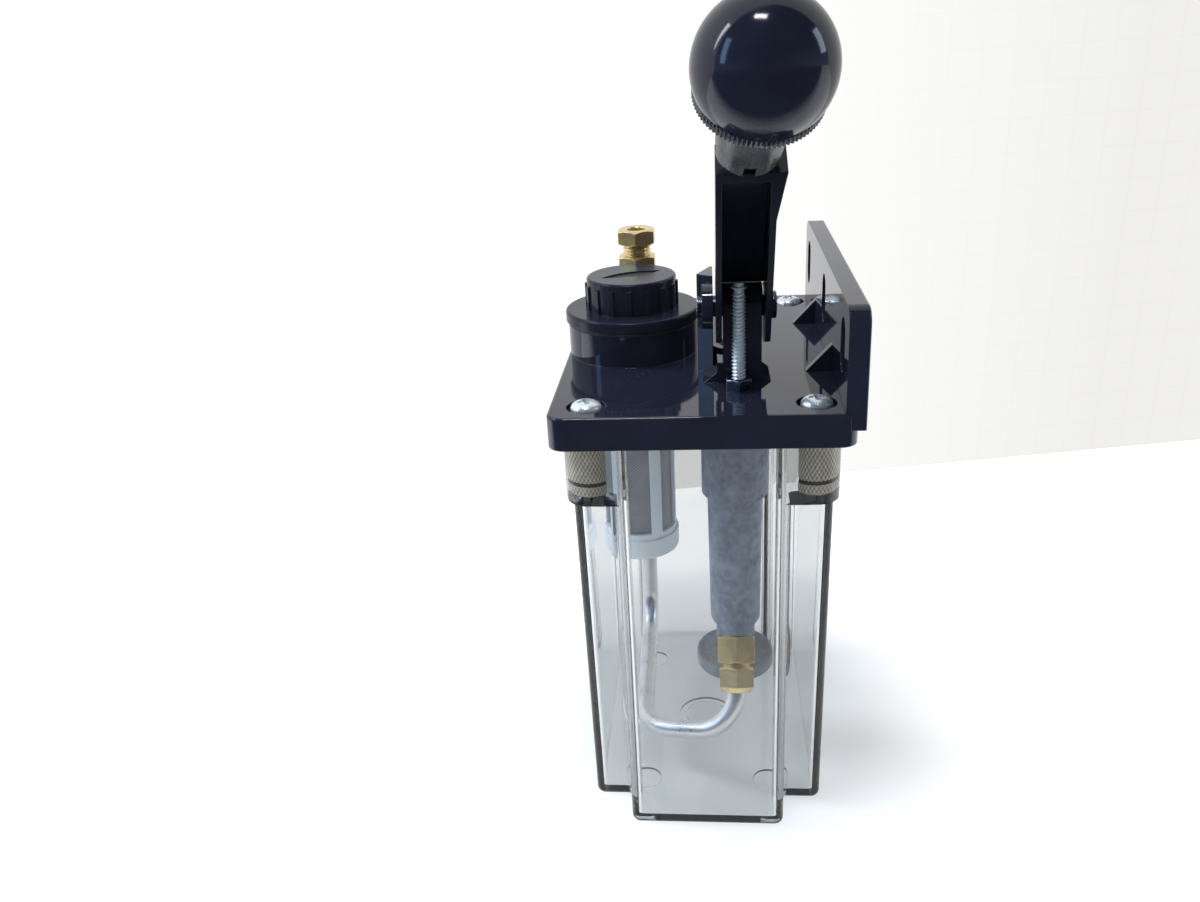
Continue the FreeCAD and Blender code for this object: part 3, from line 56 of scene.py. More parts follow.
# Camera of the photograph, for an image of 1200 by 902
CAMERA_PLACE = Vector((0.00232, -0.31937, 0.24565))
CAMERA_RIGHT = Vector((0.9945, 0.0905, -0.0542))
CAMERA_UP = Vector((0.0140, 0.3962, 0.9181))
CAMERA_BACK = Vector((0.1046, -0.9137, 0.3928))
CAMERA_LENS = 31.19

# Where the wall behind meets the floor, and how far it is turned from the object
WALL_PLACE = Vector((0.086, 0.2194, 0.0))
WALL_TURN = math.radians(10.9)


def make_camera():
    """The photograph's camera."""
    data = bpy.data.cameras.new("photo_camera")
    data.sensor_width = 36.0
    data.lens = CAMERA_LENS
    data.clip_start = 0.01
    data.clip_end = 50.0
    camera = bpy.data.objects.new("photo_camera", data)
    columns = (CAMERA_RIGHT.normalized(), CAMERA_UP.normalized(), CAMERA_BACK.normalized())
    turn = Matrix(columns).transposed().to_4x4()
    camera.matrix_world = Matrix.Translation(CAMERA_PLACE) @ turn
    bpy.context.scene.collection.objects.link(camera)
    bpy.context.scene.camera = camera


# Shader helpers

# A Mix node's colour sockets, which share their names with its number sockets
MIX_FIRST = 6
MIX_SECOND = 7
MIX_RESULT = 2


class Shader:
    """A material's node tree with short ways to add the nodes used here."""

    def __init__(self, name, **constants):
        self.material = bpy.data.materials.new(name)
        self.material.use_nodes = True
        self.tree = self.material.node_tree
        self.surface = self.tree.nodes["Principled BSDF"]
        self.output = self.tree.nodes["Material Output"]
        for socket, number in constants.items():
            self.surface.inputs[socket.replace("_", " ")].default_value = number
        self.place = self.node("ShaderNodeTexCoord").outputs["Object"]

    def node(self, kind, **settings):
        made = self.tree.nodes.new(kind)
        for name, setting in settings.items():
            setattr(made, name, setting)
        return made

    def link(self, start, end):
        self.tree.links.new(start, end)

    def stretched(self, scale):
        """The place with each axis scaled by itself."""
        mapping = self.node("ShaderNodeMapping")
        mapping.inputs["Scale"].default_value = scale
        self.link(self.place, mapping.inputs["Vector"])
        return mapping.outputs["Vector"]

    def noise(self, scale, detail, roughness=0.5, place=None, distortion=0.0):
        made = self.node("ShaderNodeTexNoise")
        made.inputs["Scale"].default_value = scale
        made.inputs["Detail"].default_value = detail
        made.inputs["Roughness"].default_value = roughness
        made.inputs["Distortion"].default_value = distortion
        self.link(place or self.place, made.inputs["Vector"])
        return made.outputs["Fac"]

    def cells(self, scale, feature="F1"):
        made = self.node("ShaderNodeTexVoronoi", feature=feature)
        made.inputs["Scale"].default_value = scale
        self.link(self.place, made.inputs["Vector"])
        return made.outputs["Distance"]

    def ramp(self, factor, stops):
        """Colours or greys between positions; a stop is (position, colour or grey)."""
        made = self.node("ShaderNodeValToRGB")
        band = made.color_ramp
        while len(band.elements) < len(stops):
            band.elements.new(0.5)
        for element, (position, colour) in zip(band.elements, stops):
            grey = isinstance(colour, float)
            element.position = position
            element.color = (colour, colour, colour, 1.0) if grey else (*colour, 1.0)
        self.link(factor, made.inputs["Fac"])
        return made.outputs["Color"]

    def math(self, operation, first, second=None, third=None, clamp=False):
        made = self.node("ShaderNodeMath", operation=operation, use_clamp=clamp)
        for socket, given in zip(made.inputs, (first, second, third)):
            if given is None:
                continue
            if isinstance(given, (int, float)):
                socket.default_value = given
            else:
                self.link(given, socket)
        return made.outputs[0]

    def mixed(self, factor, first, second):
        """The first colour at factor 0 and the second at 1."""
        made = self.node("ShaderNodeMix", data_type="RGBA")
        sockets = (made.inputs[0], made.inputs[MIX_FIRST], made.inputs[MIX_SECOND])
        for socket, given in zip(sockets, (factor, first, second)):
            if isinstance(given, tuple):
                socket.default_value = (*given, 1.0)
            elif isinstance(given, (int, float)):
                socket.default_value = given
            else:
                self.link(given, socket)
        return made.outputs[MIX_RESULT]

    def bump(self, height, strength, distance, before=None):
        made = self.node("ShaderNodeBump")
        made.inputs["Strength"].default_value = strength
        made.inputs["Distance"].default_value = distance
        self.link(height, made.inputs["Height"])
        if before is not None:
            self.link(before, made.inputs["Normal"])
        return made.outputs["Normal"]

    def soft_edges(self, radius):
        """Normals rounded over the sharp edges."""
        made = self.node("ShaderNodeBevel", samples=6)
        made.inputs["Radius"].default_value = radius
        return made.outputs["Normal"]

    def at_edges(self, radius):
        """1 near a sharp edge and 0 on the flats."""
        turn = self.node("ShaderNodeVectorMath", operation="DOT_PRODUCT")
        self.link(self.soft_edges(radius), turn.inputs[0])
        self.link(self.node("ShaderNodeNewGeometry").outputs["Normal"], turn.inputs[1])
        return self.ramp(turn.outputs["Value"], [(0.90, 1.0), (0.985, 0.0)])

    def to(self, socket, source):
        self.link(source, self.surface.inputs[socket])

    def upward(self):
        """How far a surface faces up, from 0 to 1."""
        split = self.node("ShaderNodeSeparateXYZ")
        self.link(self.node("ShaderNodeNewGeometry").outputs["Normal"], split.inputs[0])
        return self.math("MAXIMUM", split.outputs["Z"], 0.0)


DUST_COLOUR = (0.42, 0.43, 0.45)


def dust(shader, amount):
    """Fine specks on the faces that look up, as a factor."""
    specks = shader.ramp(shader.cells(900.0), [(0.0, 1.0), (0.12, 1.0), (0.16, 0.0)])
    patches = shader.ramp(shader.noise(70.0, 4.0), [(0.48, 0.0), (0.72, 1.0)])
    return shader.math("MULTIPLY", shader.math("MULTIPLY", specks, patches),
                       shader.math("MULTIPLY", shader.upward(), amount))


def gloss_black(name, colour, roughness, wobble, dusty=0.35, shine=0.5):
    """Black moulded plastic or paint: faintly wavy, with a little dust and hair scratches."""
    shader = Shader(name, IOR=1.5, Specular_IOR_Level=shine)
    deep, pale = (tuple(c * share for c in colour) for share in (0.8, 1.3))
    tone = shader.ramp(shader.noise(45.0, 5.0), [(0.3, deep), (0.75, pale)])
    shader.to("Base Color", shader.mixed(dust(shader, dusty), tone, DUST_COLOUR))
    smear = shader.noise(30.0, 6.0, 0.6, shader.stretched((1.0, 0.35, 1.0)))
    scratch = shader.noise(900.0, 2.0, 0.5, shader.stretched((0.05, 1.0, 0.3)))
    base = shader.ramp(smear, [(0.35, roughness * 0.6), (0.7, roughness * 1.8)])
    fine = shader.ramp(scratch, [(0.62, 0.0), (0.75, roughness * 0.8)])
    shader.to("Roughness", shader.math("ADD", base, fine))
    soft = shader.soft_edges(0.35 * MM)
    waves = shader.bump(shader.noise(38.0, 1.5, 0.4), wobble, 0.6 * MM, soft)
    shader.to("Normal", shader.bump(shader.noise(1400.0, 2.0), wobble * 0.25, 0.02 * MM, waves))
    return shader.material


def cap_plastic():
    """The cap's satin black plastic, duller and finely textured in the pointed oval on its top."""
    shader = Shader("cap_black", IOR=1.5, Specular_IOR_Level=0.2)
    # The oval is what two round discs of this radius share
    bow = (PANEL_LENGTH ** 2 / PANEL_WIDTH + PANEL_WIDTH) / 4
    discs = []
    for side in (-1, 1):
        shift = side * (bow - PANEL_WIDTH / 2)
        spot = FILLER + Vector((-math.sin(PANEL_TURN), math.cos(PANEL_TURN), 0)) * shift
        reach = shader.node("ShaderNodeVectorMath", operation="DISTANCE")
        reach.inputs[1].default_value = (spot.x, spot.y, 0.0)
        shader.link(shader.stretched((1.0, 1.0, 0.0)), reach.inputs[0])
        discs.append(shader.math("LESS_THAN", reach.outputs["Value"], bow))
    top = shader.math("GREATER_THAN", shader.upward(), 0.9)
    panel = shader.math("MULTIPLY", shader.math("MULTIPLY", *discs), top)
    tone = shader.ramp(shader.noise(45.0, 5.0),
                       [(0.3, (0.011, 0.013, 0.024)), (0.75, (0.017, 0.020, 0.034))])
    tone = shader.mixed(dust(shader, 0.35), tone, DUST_COLOUR)
    shader.to("Base Color", shader.mixed(panel, tone, (0.010, 0.011, 0.017)))
    smear = shader.ramp(shader.noise(30.0, 6.0, 0.6), [(0.35, 0.15), (0.7, 0.26)])
    shader.to("Roughness", shader.math("MULTIPLY_ADD", panel, 0.22, smear))
    rough_panel = shader.math("MULTIPLY_ADD", panel, 1.2, 0.2)
    grain = shader.math("MULTIPLY", shader.noise(2200.0, 2.0), rough_panel)
    waves = shader.bump(shader.noise(38.0, 1.5, 0.4), 0.12, 0.6 * MM, shader.soft_edges(0.35 * MM))
    shader.to("Normal", shader.bump(grain, 0.15, 0.06 * MM, waves))
    return shader.material


def clear_plastic():
    """Clear moulded tank: light fades with depth; faint flow lines and a few scuffs."""
    shader = Shader("clear_plastic", IOR=1.49, Transmission_Weight=1.0)
    tone = shader.ramp(shader.noise(12.0, 3.0),
                       [(0.3, (0.868, 0.872, 0.868)), (0.7, (0.896, 0.900, 0.896))])
    shader.to("Base Color", tone)
    scuff = shader.noise(260.0, 6.0, 0.65, shader.stretched((1.0, 1.0, 0.25)))
    shader.to("Roughness", shader.ramp(scuff, [(0.55, 0.004), (0.72, 0.03), (0.85, 0.16)]))
    flow = shader.noise(60.0, 2.0, 0.4, shader.stretched((1.0, 1.0, 0.12)))
    shader.to("Normal", shader.bump(flow, 0.05, 0.25 * MM))
    clear = shader.node("ShaderNodeBsdfTransparent")
    clear.inputs["Color"].default_value = (0.97, 0.98, 0.985, 1.0)
    mix = shader.node("ShaderNodeMixShader")
    seen = shader.node("ShaderNodeLightPath")
    through = shader.math("MAXIMUM", seen.outputs["Is Shadow Ray"], seen.outputs["Is Diffuse Ray"])
    shader.link(through, mix.inputs[0])
    shader.link(shader.surface.outputs["BSDF"], mix.inputs[1])
    shader.link(clear.outputs["BSDF"], mix.inputs[2])
    shader.link(mix.outputs["Shader"], shader.output.inputs["Surface"])
    depth = shader.node("ShaderNodeVolumeAbsorption")
    depth.inputs["Color"].default_value = (0.33, 0.37, 0.375, 1.0)
    depth.inputs["Density"].default_value = 40.0
    shader.link(depth.outputs["Volume"], shader.output.inputs["Volume"])
    return shader.material


def metal(name, dark, light, roughness, grain=600.0, marks=0.05, edge=0.2, body=1.0, edge_wear_and_highlight=None):
    """Turned, plated or drawn metal: patchy colour, tool marks, soft edges, and if given a pale edge colour
    that is partly rubbed metal and partly a painted highlight.
    """
    shader = Shader(name, Metallic=body)
    patches = shader.noise(90.0, 3.0, 0.5)
    tone = shader.ramp(patches, [(0.25, dark), (0.75, light)])
    # A pale edge colour, when given: partly rubbed metal, partly a painted highlight along the edges.
    if edge_wear_and_highlight:
        tone = shader.mixed(shader.at_edges(edge * MM), tone, edge_wear_and_highlight)
    shader.to("Base Color", tone)
    lines = shader.noise(grain, 4.0, 0.6)
    uneven = shader.math("MULTIPLY", shader.noise(90.0, 3.0), roughness * 0.8)
    shader.to("Roughness", shader.math("ADD", shader.math("MULTIPLY", lines, roughness * 0.8), uneven))
    shader.to("Normal", shader.bump(lines, marks, 0.05 * MM, shader.soft_edges(edge * MM)))
    return shader.material


def knurled_brass():
    """Brass of the inserts with a little tarnish; the knurl's grooves are dark from tarnish and painted
    shade, and its diamonds are brighter.
    """
    shader = Shader("insert_brass", Metallic=0.85)
    split = shader.node("ShaderNodeSeparateXYZ")
    shader.link(shader.place, split.inputs[0])
    offsets = []
    for axis, spot in (("X", SCREW_X), ("Y", SCREW_Y)):
        reach = shader.math("SUBTRACT", shader.math("ABSOLUTE", split.outputs[axis]), spot)
        offsets.append(shader.math("POWER", reach, 2.0))
    depth = shader.math("SQRT", shader.math("ADD", *offsets))
    root = KNURL_WIDTH / 2 - KNURL_DEPTH
    crest = shader.math("MULTIPLY_ADD", depth, 1 / (KNURL_DEPTH * MM), -root / KNURL_DEPTH, clamp=True)
    tarnish = shader.ramp(shader.noise(160.0, 3.0),
                          [(0.3, (0.80, 0.75, 0.60)), (0.7, (1.0, 0.96, 0.84))])
    # Dark grooves: partly tarnish in the hollows, partly painted shade in the knurl's recesses.
    shader.to("Base Color", shader.mixed(crest, (0.13, 0.11, 0.08), tarnish))
    shader.to("Roughness", shader.math("MULTIPLY_ADD", crest, -0.25, 0.6))
    return shader.material


def mottled_barrel():
    """Grey cast barrel with a cloudy, crystalline surface."""
    shader = Shader("barrel_alloy", Metallic=0.25, IOR=1.5)
    clouds = shader.noise(170.0, 8.0, 0.66, distortion=0.4)
    grains = shader.cells(520.0, "SMOOTH_F1")
    blend = shader.math("MULTIPLY_ADD", grains, 0.28, shader.math("MULTIPLY", clouds, 0.84))
    greys = [(0.32, (0.125, 0.145, 0.195)), (0.52, (0.195, 0.225, 0.290)), (0.72, (0.290, 0.325, 0.405))]
    shader.to("Base Color", shader.ramp(blend, greys))
    shader.to("Roughness", shader.ramp(clouds, [(0.3, 0.62), (0.7, 0.42)]))
    lumps = shader.bump(shader.noise(120.0, 2.0, 0.4), 0.22, 0.8 * MM)
    shader.to("Normal", shader.bump(blend, 0.3, 0.22 * MM, lumps))
    return shader.material


def felt():
    """Dark grey pressed felt with loose fibres."""
    shader = Shader("felt", Sheen_Weight=0.5, Sheen_Roughness=0.5)
    fibres = shader.noise(1500.0, 6.0, 0.75, distortion=1.5)
    clumps = shader.noise(260.0, 4.0)
    both = shader.math("MULTIPLY_ADD", fibres, 0.6, shader.math("MULTIPLY", clumps, 0.4))
    shader.to("Base Color", shader.ramp(both, [(0.35, (0.08, 0.092, 0.112)), (0.65, (0.24, 0.265, 0.305))]))
    shader.to("Roughness", shader.ramp(clumps, [(0.3, 0.95), (0.7, 0.8)]))
    shader.to("Normal", shader.bump(both, 0.9, 0.3 * MM))
    return shader.material


def milky_plastic():
    """Bluish white strainer plastic that light enters a little."""
    shader = Shader("white_plastic", IOR=1.48, Subsurface_Weight=0.1,
                    Subsurface_Radius=(0.004, 0.0045, 0.005))
    tone = shader.ramp(shader.noise(55.0, 4.0), [(0.3, (0.80, 0.87, 0.96)), (0.7, (0.88, 0.93, 0.98))])
    shader.to("Base Color", tone)
    shader.to("Roughness", shader.ramp(shader.noise(300.0, 4.0), [(0.3, 0.38), (0.7, 0.55)]))
    soft = shader.soft_edges(0.3 * MM)
    shader.to("Normal", shader.bump(shader.noise(420.0, 3.0), 0.12, 0.1 * MM, soft))
    return shader.material


WEAVE_PITCH = 1.1 * MM
WEAVE_AROUND = 60.0


def woven_mesh(centre):
    """Fine woven wire round the strainer: two sets of wires, over and under."""
    shader = Shader("steel_mesh", Metallic=0.35)
    split = shader.node("ShaderNodeSeparateXYZ")
    shader.link(shader.place, split.inputs[0])
    across = shader.math("SUBTRACT", split.outputs["X"], centre.x)
    along = shader.math("SUBTRACT", split.outputs["Y"], centre.y)
    angle = shader.math("ARCTAN2", along, across)
    warp = shader.math("MULTIPLY", angle, WEAVE_AROUND)
    weft = shader.math("MULTIPLY", split.outputs["Z"], TURN / WEAVE_PITCH)
    grid = shader.math("MULTIPLY", shader.math("SINE", warp), shader.math("SINE", weft))
    lift = shader.math("MULTIPLY_ADD", grid, 0.5, 0.5)
    stain = shader.noise(110.0, 4.0)
    wires = shader.ramp(lift, [(0.15, (0.17, 0.185, 0.21)), (0.75, (0.46, 0.48, 0.51))])
    soiled = shader.ramp(stain, [(0.3, (0.21, 0.22, 0.235)), (0.7, (0.38, 0.39, 0.405))])
    shader.to("Base Color", shader.mixed(0.45, wires, soiled))
    shader.to("Roughness", shader.ramp(lift, [(0.0, 0.7), (1.0, 0.42)]))
    shader.to("Normal", shader.bump(lift, 0.5, 0.15 * MM))
    return shader.material


def smoky_sleeve():
    """Smoke-grey translucent sleeve under the knob."""
    shader = Shader("grey_plastic", IOR=1.47, Transmission_Weight=0.35)
    tone = shader.ramp(shader.noise(120.0, 4.0, 0.6),
                       [(0.3, (0.035, 0.037, 0.044)), (0.7, (0.10, 0.10, 0.105))])
    shader.to("Base Color", tone)
    shader.to("Roughness", shader.ramp(shader.noise(300.0, 3.0), [(0.3, 0.22), (0.7, 0.36)]))
    lumps = shader.bump(shader.noise(160.0, 3.0, 0.5), 0.35, 0.5 * MM, shader.soft_edges(0.4 * MM))
    shader.to("Normal", shader.bump(shader.noise(900.0, 2.0), 0.15, 0.05 * MM, lumps))
    return shader.material


def rubber():
    """Dull black seal rubber."""
    shader = Shader("seal_rubber", IOR=1.5)
    tone = shader.ramp(shader.noise(200.0, 4.0), [(0.3, (0.018, 0.018, 0.02)), (0.7, (0.04, 0.04, 0.042))])
    shader.to("Base Color", tone)
    shader.to("Roughness", shader.ramp(shader.noise(400.0, 3.0), [(0.3, 0.55), (0.7, 0.75)]))
    shader.to("Normal", shader.bump(shader.noise(700.0, 3.0), 0.2, 0.08 * MM))
    return shader.material


# Mesh helpers


def ring(segments, radius, height):
    """A closed ring; radius and height are numbers or functions of the angle, in millimetres."""
    points = []
    for step in range(segments):
        angle = TURN * step / segments
        out = radius(angle) if callable(radius) else radius
        up = height(angle) if callable(height) else height
        points.append(Vector((out * math.cos(angle), out * math.sin(angle), up)) * MM)
    return points


def as_object(name, mesh):
    """A linked object from a bmesh, which is freed."""
    data = bpy.data.meshes.new(name)
    mesh.to_mesh(data)
    mesh.free()
    piece = bpy.data.objects.new(name, data)
    bpy.context.scene.collection.objects.link(piece)
    return piece


def skin(name, rings, place, loop=False, sharp=35.0):
    """A mesh through successive rings, closed at both ends or round on itself."""
    mesh = bmesh.new()
    rows = [[mesh.verts.new(point) for point in row] for row in rings]
    pairs = list(zip(rows, rows[1:]))
    if loop:
        pairs.append((rows[-1], rows[0]))
    for low, high in pairs:
        for step in range(len(low)):
            after = (step + 1) % len(low)
            mesh.faces.new((low[step], low[after], high[after], high[step]))
    if not loop:
        mesh.faces.new(list(reversed(rows[0])))
        mesh.faces.new(rows[-1])
    bmesh.ops.recalc_face_normals(mesh, faces=mesh.faces)
    mesh.transform(place)
    for face in mesh.faces:
        face.smooth = True
    for edge in mesh.edges:
        if len(edge.link_faces) == 2 and edge.calc_face_angle(0.0) > math.radians(sharp):
            edge.smooth = False
    return as_object(name, mesh)


def joined(name, parts):
    """Several mesh objects as one."""
    mesh = bmesh.new()
    for part in parts:
        mesh.from_mesh(part.data)
        bpy.data.objects.remove(part)
    return as_object(name, mesh)


def finish_piece(piece, material, body, slot, *replaced):
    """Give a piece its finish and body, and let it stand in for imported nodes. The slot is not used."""
    piece.data.materials.clear()
    piece.data.materials.append(material)
    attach(piece, body)
    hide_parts(*replaced)
    return piece


def hex_radius(flats):
    """Distance from the axis to a hexagon's side, a corner towards -Y."""
    sixth = math.pi / 3

    def reach(angle):
        return flats / 2 / math.cos((angle + sixth / 2) % sixth - sixth / 2)

    return reach


# Points round a turned brass piece
AROUND = 96
# Where a hexagon's end face stops, as a share of half its flats, and how its corners are turned off
HEX_FACE = 0.965
HEX_SLOPE = math.radians(30)


def hex_rings(flats, low, high, bevel_low=True, bevel_high=True):
    """Side rings of a hexagon whose corners are turned off at its ends."""
    side = hex_radius(flats)
    crown = flats / 2 * HEX_FACE
    slope = math.tan(HEX_SLOPE)
    bottom = (lambda a: low + (side(a) - crown) * slope) if bevel_low else low
    top = (lambda a: high - (side(a) - crown) * slope) if bevel_high else high
    rows = []
    if bevel_low:
        rows.append(ring(AROUND, crown, low))
    rows += [ring(AROUND, side, bottom), ring(AROUND, side, top)]
    if bevel_high:
        rows.append(ring(AROUND, crown, high))
    return rows


def turned(profile, segments=AROUND):
    """Round rings through (radius, height) points."""
    return [ring(segments, radius, height) for radius, height in profile]


def thread_rings(width, depth, pitch, low, high, segments, steps, run_out=1.0):
    """Rings of a screw thread that runs out at both ends over so many pitches."""
    rows = []
    count = max(2, round((high - low) / pitch * steps))
    for index in range(count + 1):
        height = low + (high - low) * index / count
        fade = min(1.0, (height - low) / pitch / run_out, (high - height) / pitch / run_out)

        def reach(angle):
            phase = (height / pitch - angle / TURN) % 1.0
            return width / 2 - depth * (fade * abs(2 * phase - 1) + (1 - fade))

        rows.append(ring(segments, reach, height))
    return rows


def knurl_rings(low, high):
    """Rings of the inserts' diamond knurl."""
    rows = []
    count = round((high - low) / KNURL_PITCH * KNURL_STEPS)
    for index in range(count + 1):
        height = low + (high - low) * index / count

        def reach(angle):
            right = (angle / TURN * KNURL_AROUND + height / KNURL_PITCH) % 1.0
            left = (angle / TURN * KNURL_AROUND - height / KNURL_PITCH) % 1.0
            return KNURL_WIDTH / 2 - KNURL_DEPTH * (abs(2 * right - 1) + abs(2 * left - 1)) / 2

        rows.append(ring(KNURL_SEGMENTS, reach, height))
    return rows


# Where things are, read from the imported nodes


def middle(node):
    """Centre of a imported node's box."""
    low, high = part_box(node)
    return (low + high) / 2


FILLER = middle("filler_cap")
OUTLET = middle("outlet_nut")
STOP = middle("lock_nut")
KNOB = middle("ball_knob")
KNOB_AXIS = Vector((0.0976, -0.6972, 0.7102))
LID_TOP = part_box("lock_nut")[0].z

# Threads: width, depth and pitch
SCREW_THREAD = (5.0, 0.45, 0.8)
STOP_THREAD = (4.0, 0.52, 1.05)

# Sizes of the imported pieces, in millimetres where MM isn't written
PANEL_LENGTH = 20.0 * MM
PANEL_WIDTH = 6.0 * MM
PANEL_TURN = math.radians(24.0)
LEVER_WIDTH = 14.9
LID_THICKNESS = 9.5
OUTLET_BOSS = 11.0
OUTLET_NUT_HEIGHT = 5.0
BACKNUT_HEIGHT = 4.0
HEX_FLATS = 12.0
HEX_HEIGHT = 12.0
TUBE_BORE = 6.3
THREAD_WIDTH = 9.6
DELIVERY_TILT = math.radians(30.0)
DELIVERY_ROOT = Vector((10.2, -19.5, 57.5)) * MM
DELIVERY_SEAT = 7.0
DELIVERY_HEX = 9.0
DELIVERY_GAP = 1.4
DELIVERY_NUT_FLATS = 11.0
SCREW_WIDTH = 8.8
SCREW_SINK = 1.4
SCREW_HEAD = 3.2
SCREW_LENGTH = 20.0
LOCK_NUT_FLATS = 7.0
LOCK_NUT_HEIGHT = 3.4
LOCK_NUT_BORE = 3.95
INSERT_WIDTH = 9.0
INSERT_LENGTH = 15.0
INSERT_GROOVE = (3.0, 4.2)
INSERT_CORE = 2.5
# The knurl bites into the plastic round the hole, grooves and all
KNURL_DEPTH = 0.35
KNURL_WIDTH = INSERT_WIDTH + 2 * KNURL_DEPTH + 0.04
KNURL_PITCH = 2.1
KNURL_AROUND = 26
KNURL_SEGMENTS = 4 * KNURL_AROUND
KNURL_STEPS = 8
screw_low, screw_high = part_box("lid_screws")
SCREW_X = (screw_high.x - screw_low.x) / 2 - SCREW_WIDTH / 2 * MM
SCREW_Y = (screw_high.y - screw_low.y) / 2 - SCREW_WIDTH / 2 * MM
SCREW_SPOTS = [(sx * SCREW_X, sy * SCREW_Y) for sx in (-1, 1) for sy in (-1, 1)]


# Fasteners

# Half length, half width and height of a cross blade's lower and upper end
CROSS = ((1.0, 0.45, -2.3), (2.9, 0.80, 0.9))


def cross_cutter(place, turn):
    """A tapering cross for the driver's recess."""
    blades = []
    for quarter in (0.0, math.pi / 2):
        mesh = bmesh.new()
        verts = []
        for long, wide, up in CROSS:
            for sx, sy in ((-1, -1), (1, -1), (1, 1), (-1, 1)):
                verts.append(mesh.verts.new(Vector((sx * long, sy * wide, up)) * MM))
        faces = [(3, 2, 1, 0), (4, 5, 6, 7)] + [(i, (i + 1) % 4, (i + 1) % 4 + 4, i + 4) for i in range(4)]
        for face in faces:
            mesh.faces.new([verts[i] for i in face])
        mesh.transform(place @ Matrix.Rotation(turn + quarter, 4, "Z"))
        blades.append(as_object("cross_blade", mesh))
    return blades


def cut_away(piece, cutters):
    """Take the cutters' shapes out of a piece for good."""
    for cutter in cutters:
        modifier = piece.modifiers.new("recess", "BOOLEAN")
        modifier.object = cutter
        modifier.operation = "DIFFERENCE"
        modifier.solver = "EXACT"
    graph = bpy.context.evaluated_depsgraph_get()
    data = bpy.data.meshes.new_from_object(piece.evaluated_get(graph))
    piece.modifiers.clear()
    piece.data = data
    for cutter in cutters:
        bpy.data.objects.remove(cutter)
    return piece


def make_screws(material):
    """Pan head screws with a cross recess."""
    seat = LID_TOP / MM - SCREW_SINK
    radius = SCREW_WIDTH / 2
    rim = 0.9
    turns = (0.35, 1.1, 0.1, 0.75)
    profile = [(radius - 0.35, 0.0), (radius, 0.2), (radius, rim)]
    for step in range(1, 9):
        lean = math.pi / 2 * step / 9
        profile.append((radius * math.cos(lean) ** 0.75, rim + (SCREW_HEAD - rim) * math.sin(lean)))
    profile.append((0.3, SCREW_HEAD))
    screws = []
    for (x, y), turn in zip(SCREW_SPOTS, turns):
        place = Matrix.Translation((x, y, seat * MM))
        head = skin("screw_head", turned(profile, 64), place, sharp=40.0)
        top = place @ Matrix.Translation((0, 0, SCREW_HEAD * MM))
        cut_away(head, cross_cutter(top, turn))
        shank = skin("screw_shank", thread_rings(*SCREW_THREAD, -SCREW_LENGTH, 0.02, 24, 4), place)
        screws.append(joined("screw", [head, shank]))
    return finish_piece(joined("pan_screws", screws), material, "housing", "zinc_steel", "lid_screws")


def make_inserts(material):
    """Knurled brass inserts in the tank's corner bosses."""
    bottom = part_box("threaded_inserts")[0].z / MM
    low, high = INSERT_GROOVE
    root = KNURL_WIDTH / 2 - KNURL_DEPTH
    inserts = []
    for x, y in SCREW_SPOTS:
        rows = turned([(INSERT_CORE, -0.05), (root, -0.05)], KNURL_SEGMENTS)
        rows += knurl_rings(0.25, low)
        rows += turned([(root, low + 0.05), (root, high - 0.05)], KNURL_SEGMENTS)
        rows += knurl_rings(high, INSERT_LENGTH - 0.3)
        rows += turned([(root, INSERT_LENGTH), (INSERT_CORE, INSERT_LENGTH)], KNURL_SEGMENTS)
        place = Matrix.Translation((x, y, bottom * MM))
        inserts.append(skin("insert", rows, place, loop=True, sharp=22.0))
    piece = joined("knurled_inserts", inserts)
    return finish_piece(piece, material, "housing", "insert_brass", "threaded_inserts")


# The stop screw's ring and bevelled tip: radius, and height over the thread's end
STOP_TIP = [(1.45, 0.05), (1.45, 0.9), (2.15, 0.92), (2.3, 1.05), (2.3, 1.2), (2.15, 1.35), (1.5, 1.37),
            (1.5, 2.2), (1.35, 2.5), (1.05, 2.65), (0.6, 2.7)]
STOP_SEGMENTS = 48


def make_stroke_screw(material):
    """Long threaded stop with a ring and a bevelled tip."""
    low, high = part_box("stroke_screw")
    place = Matrix.Translation((STOP.x, STOP.y, 0))
    bottom, top = low.z / MM, high.z / MM
    neck = top - STOP_TIP[-1][1]
    rows = turned([(1.4, bottom)], STOP_SEGMENTS)
    rows += thread_rings(*STOP_THREAD, bottom + 0.3, neck, STOP_SEGMENTS, 10)
    rows += turned([(radius, neck + up) for radius, up in STOP_TIP], STOP_SEGMENTS)
    piece = skin("threaded_stop", rows, place, sharp=28.0)
    return finish_piece(piece, material, "stop", "zinc_steel", "stroke_screw")


def bored_hex(name, flats, height, bore, place, bevel_low=True):
    """A hexagon nut with turned-off corners and a chamfered bore."""
    hole, chamfer = bore / 2, 0.35
    rows = hex_rings(flats, 0.0, height, bevel_low)
    rows += turned([(hole + chamfer, height), (hole, height - chamfer)])
    rows += turned([(hole, chamfer), (hole + chamfer, 0.0)])
    return skin(name, rows, place, loop=True)


def make_lock_nut(material):
    """Nut that holds the stop screw on the lid."""
    place = Matrix.Translation((STOP.x, STOP.y, LID_TOP))
    nut = bored_hex("stop_nut", LOCK_NUT_FLATS, LOCK_NUT_HEIGHT, LOCK_NUT_BORE, place, bevel_low=False)
    return finish_piece(nut, material, "housing", "dark_steel", "lock_nut")


def fitting_thread(start, end):
    """The fittings' thread, from just over the hexagon that it rises from."""
    rows = turned([(4.15, start + 0.02)])
    return rows + thread_rings(THREAD_WIDTH, 0.7, 1.2, start + 0.1, end, AROUND, 12, 0.25)


def outlet_place(height):
    """A frame on the outlet's upright axis."""
    return Matrix.Translation((OUTLET.x, OUTLET.y, height))


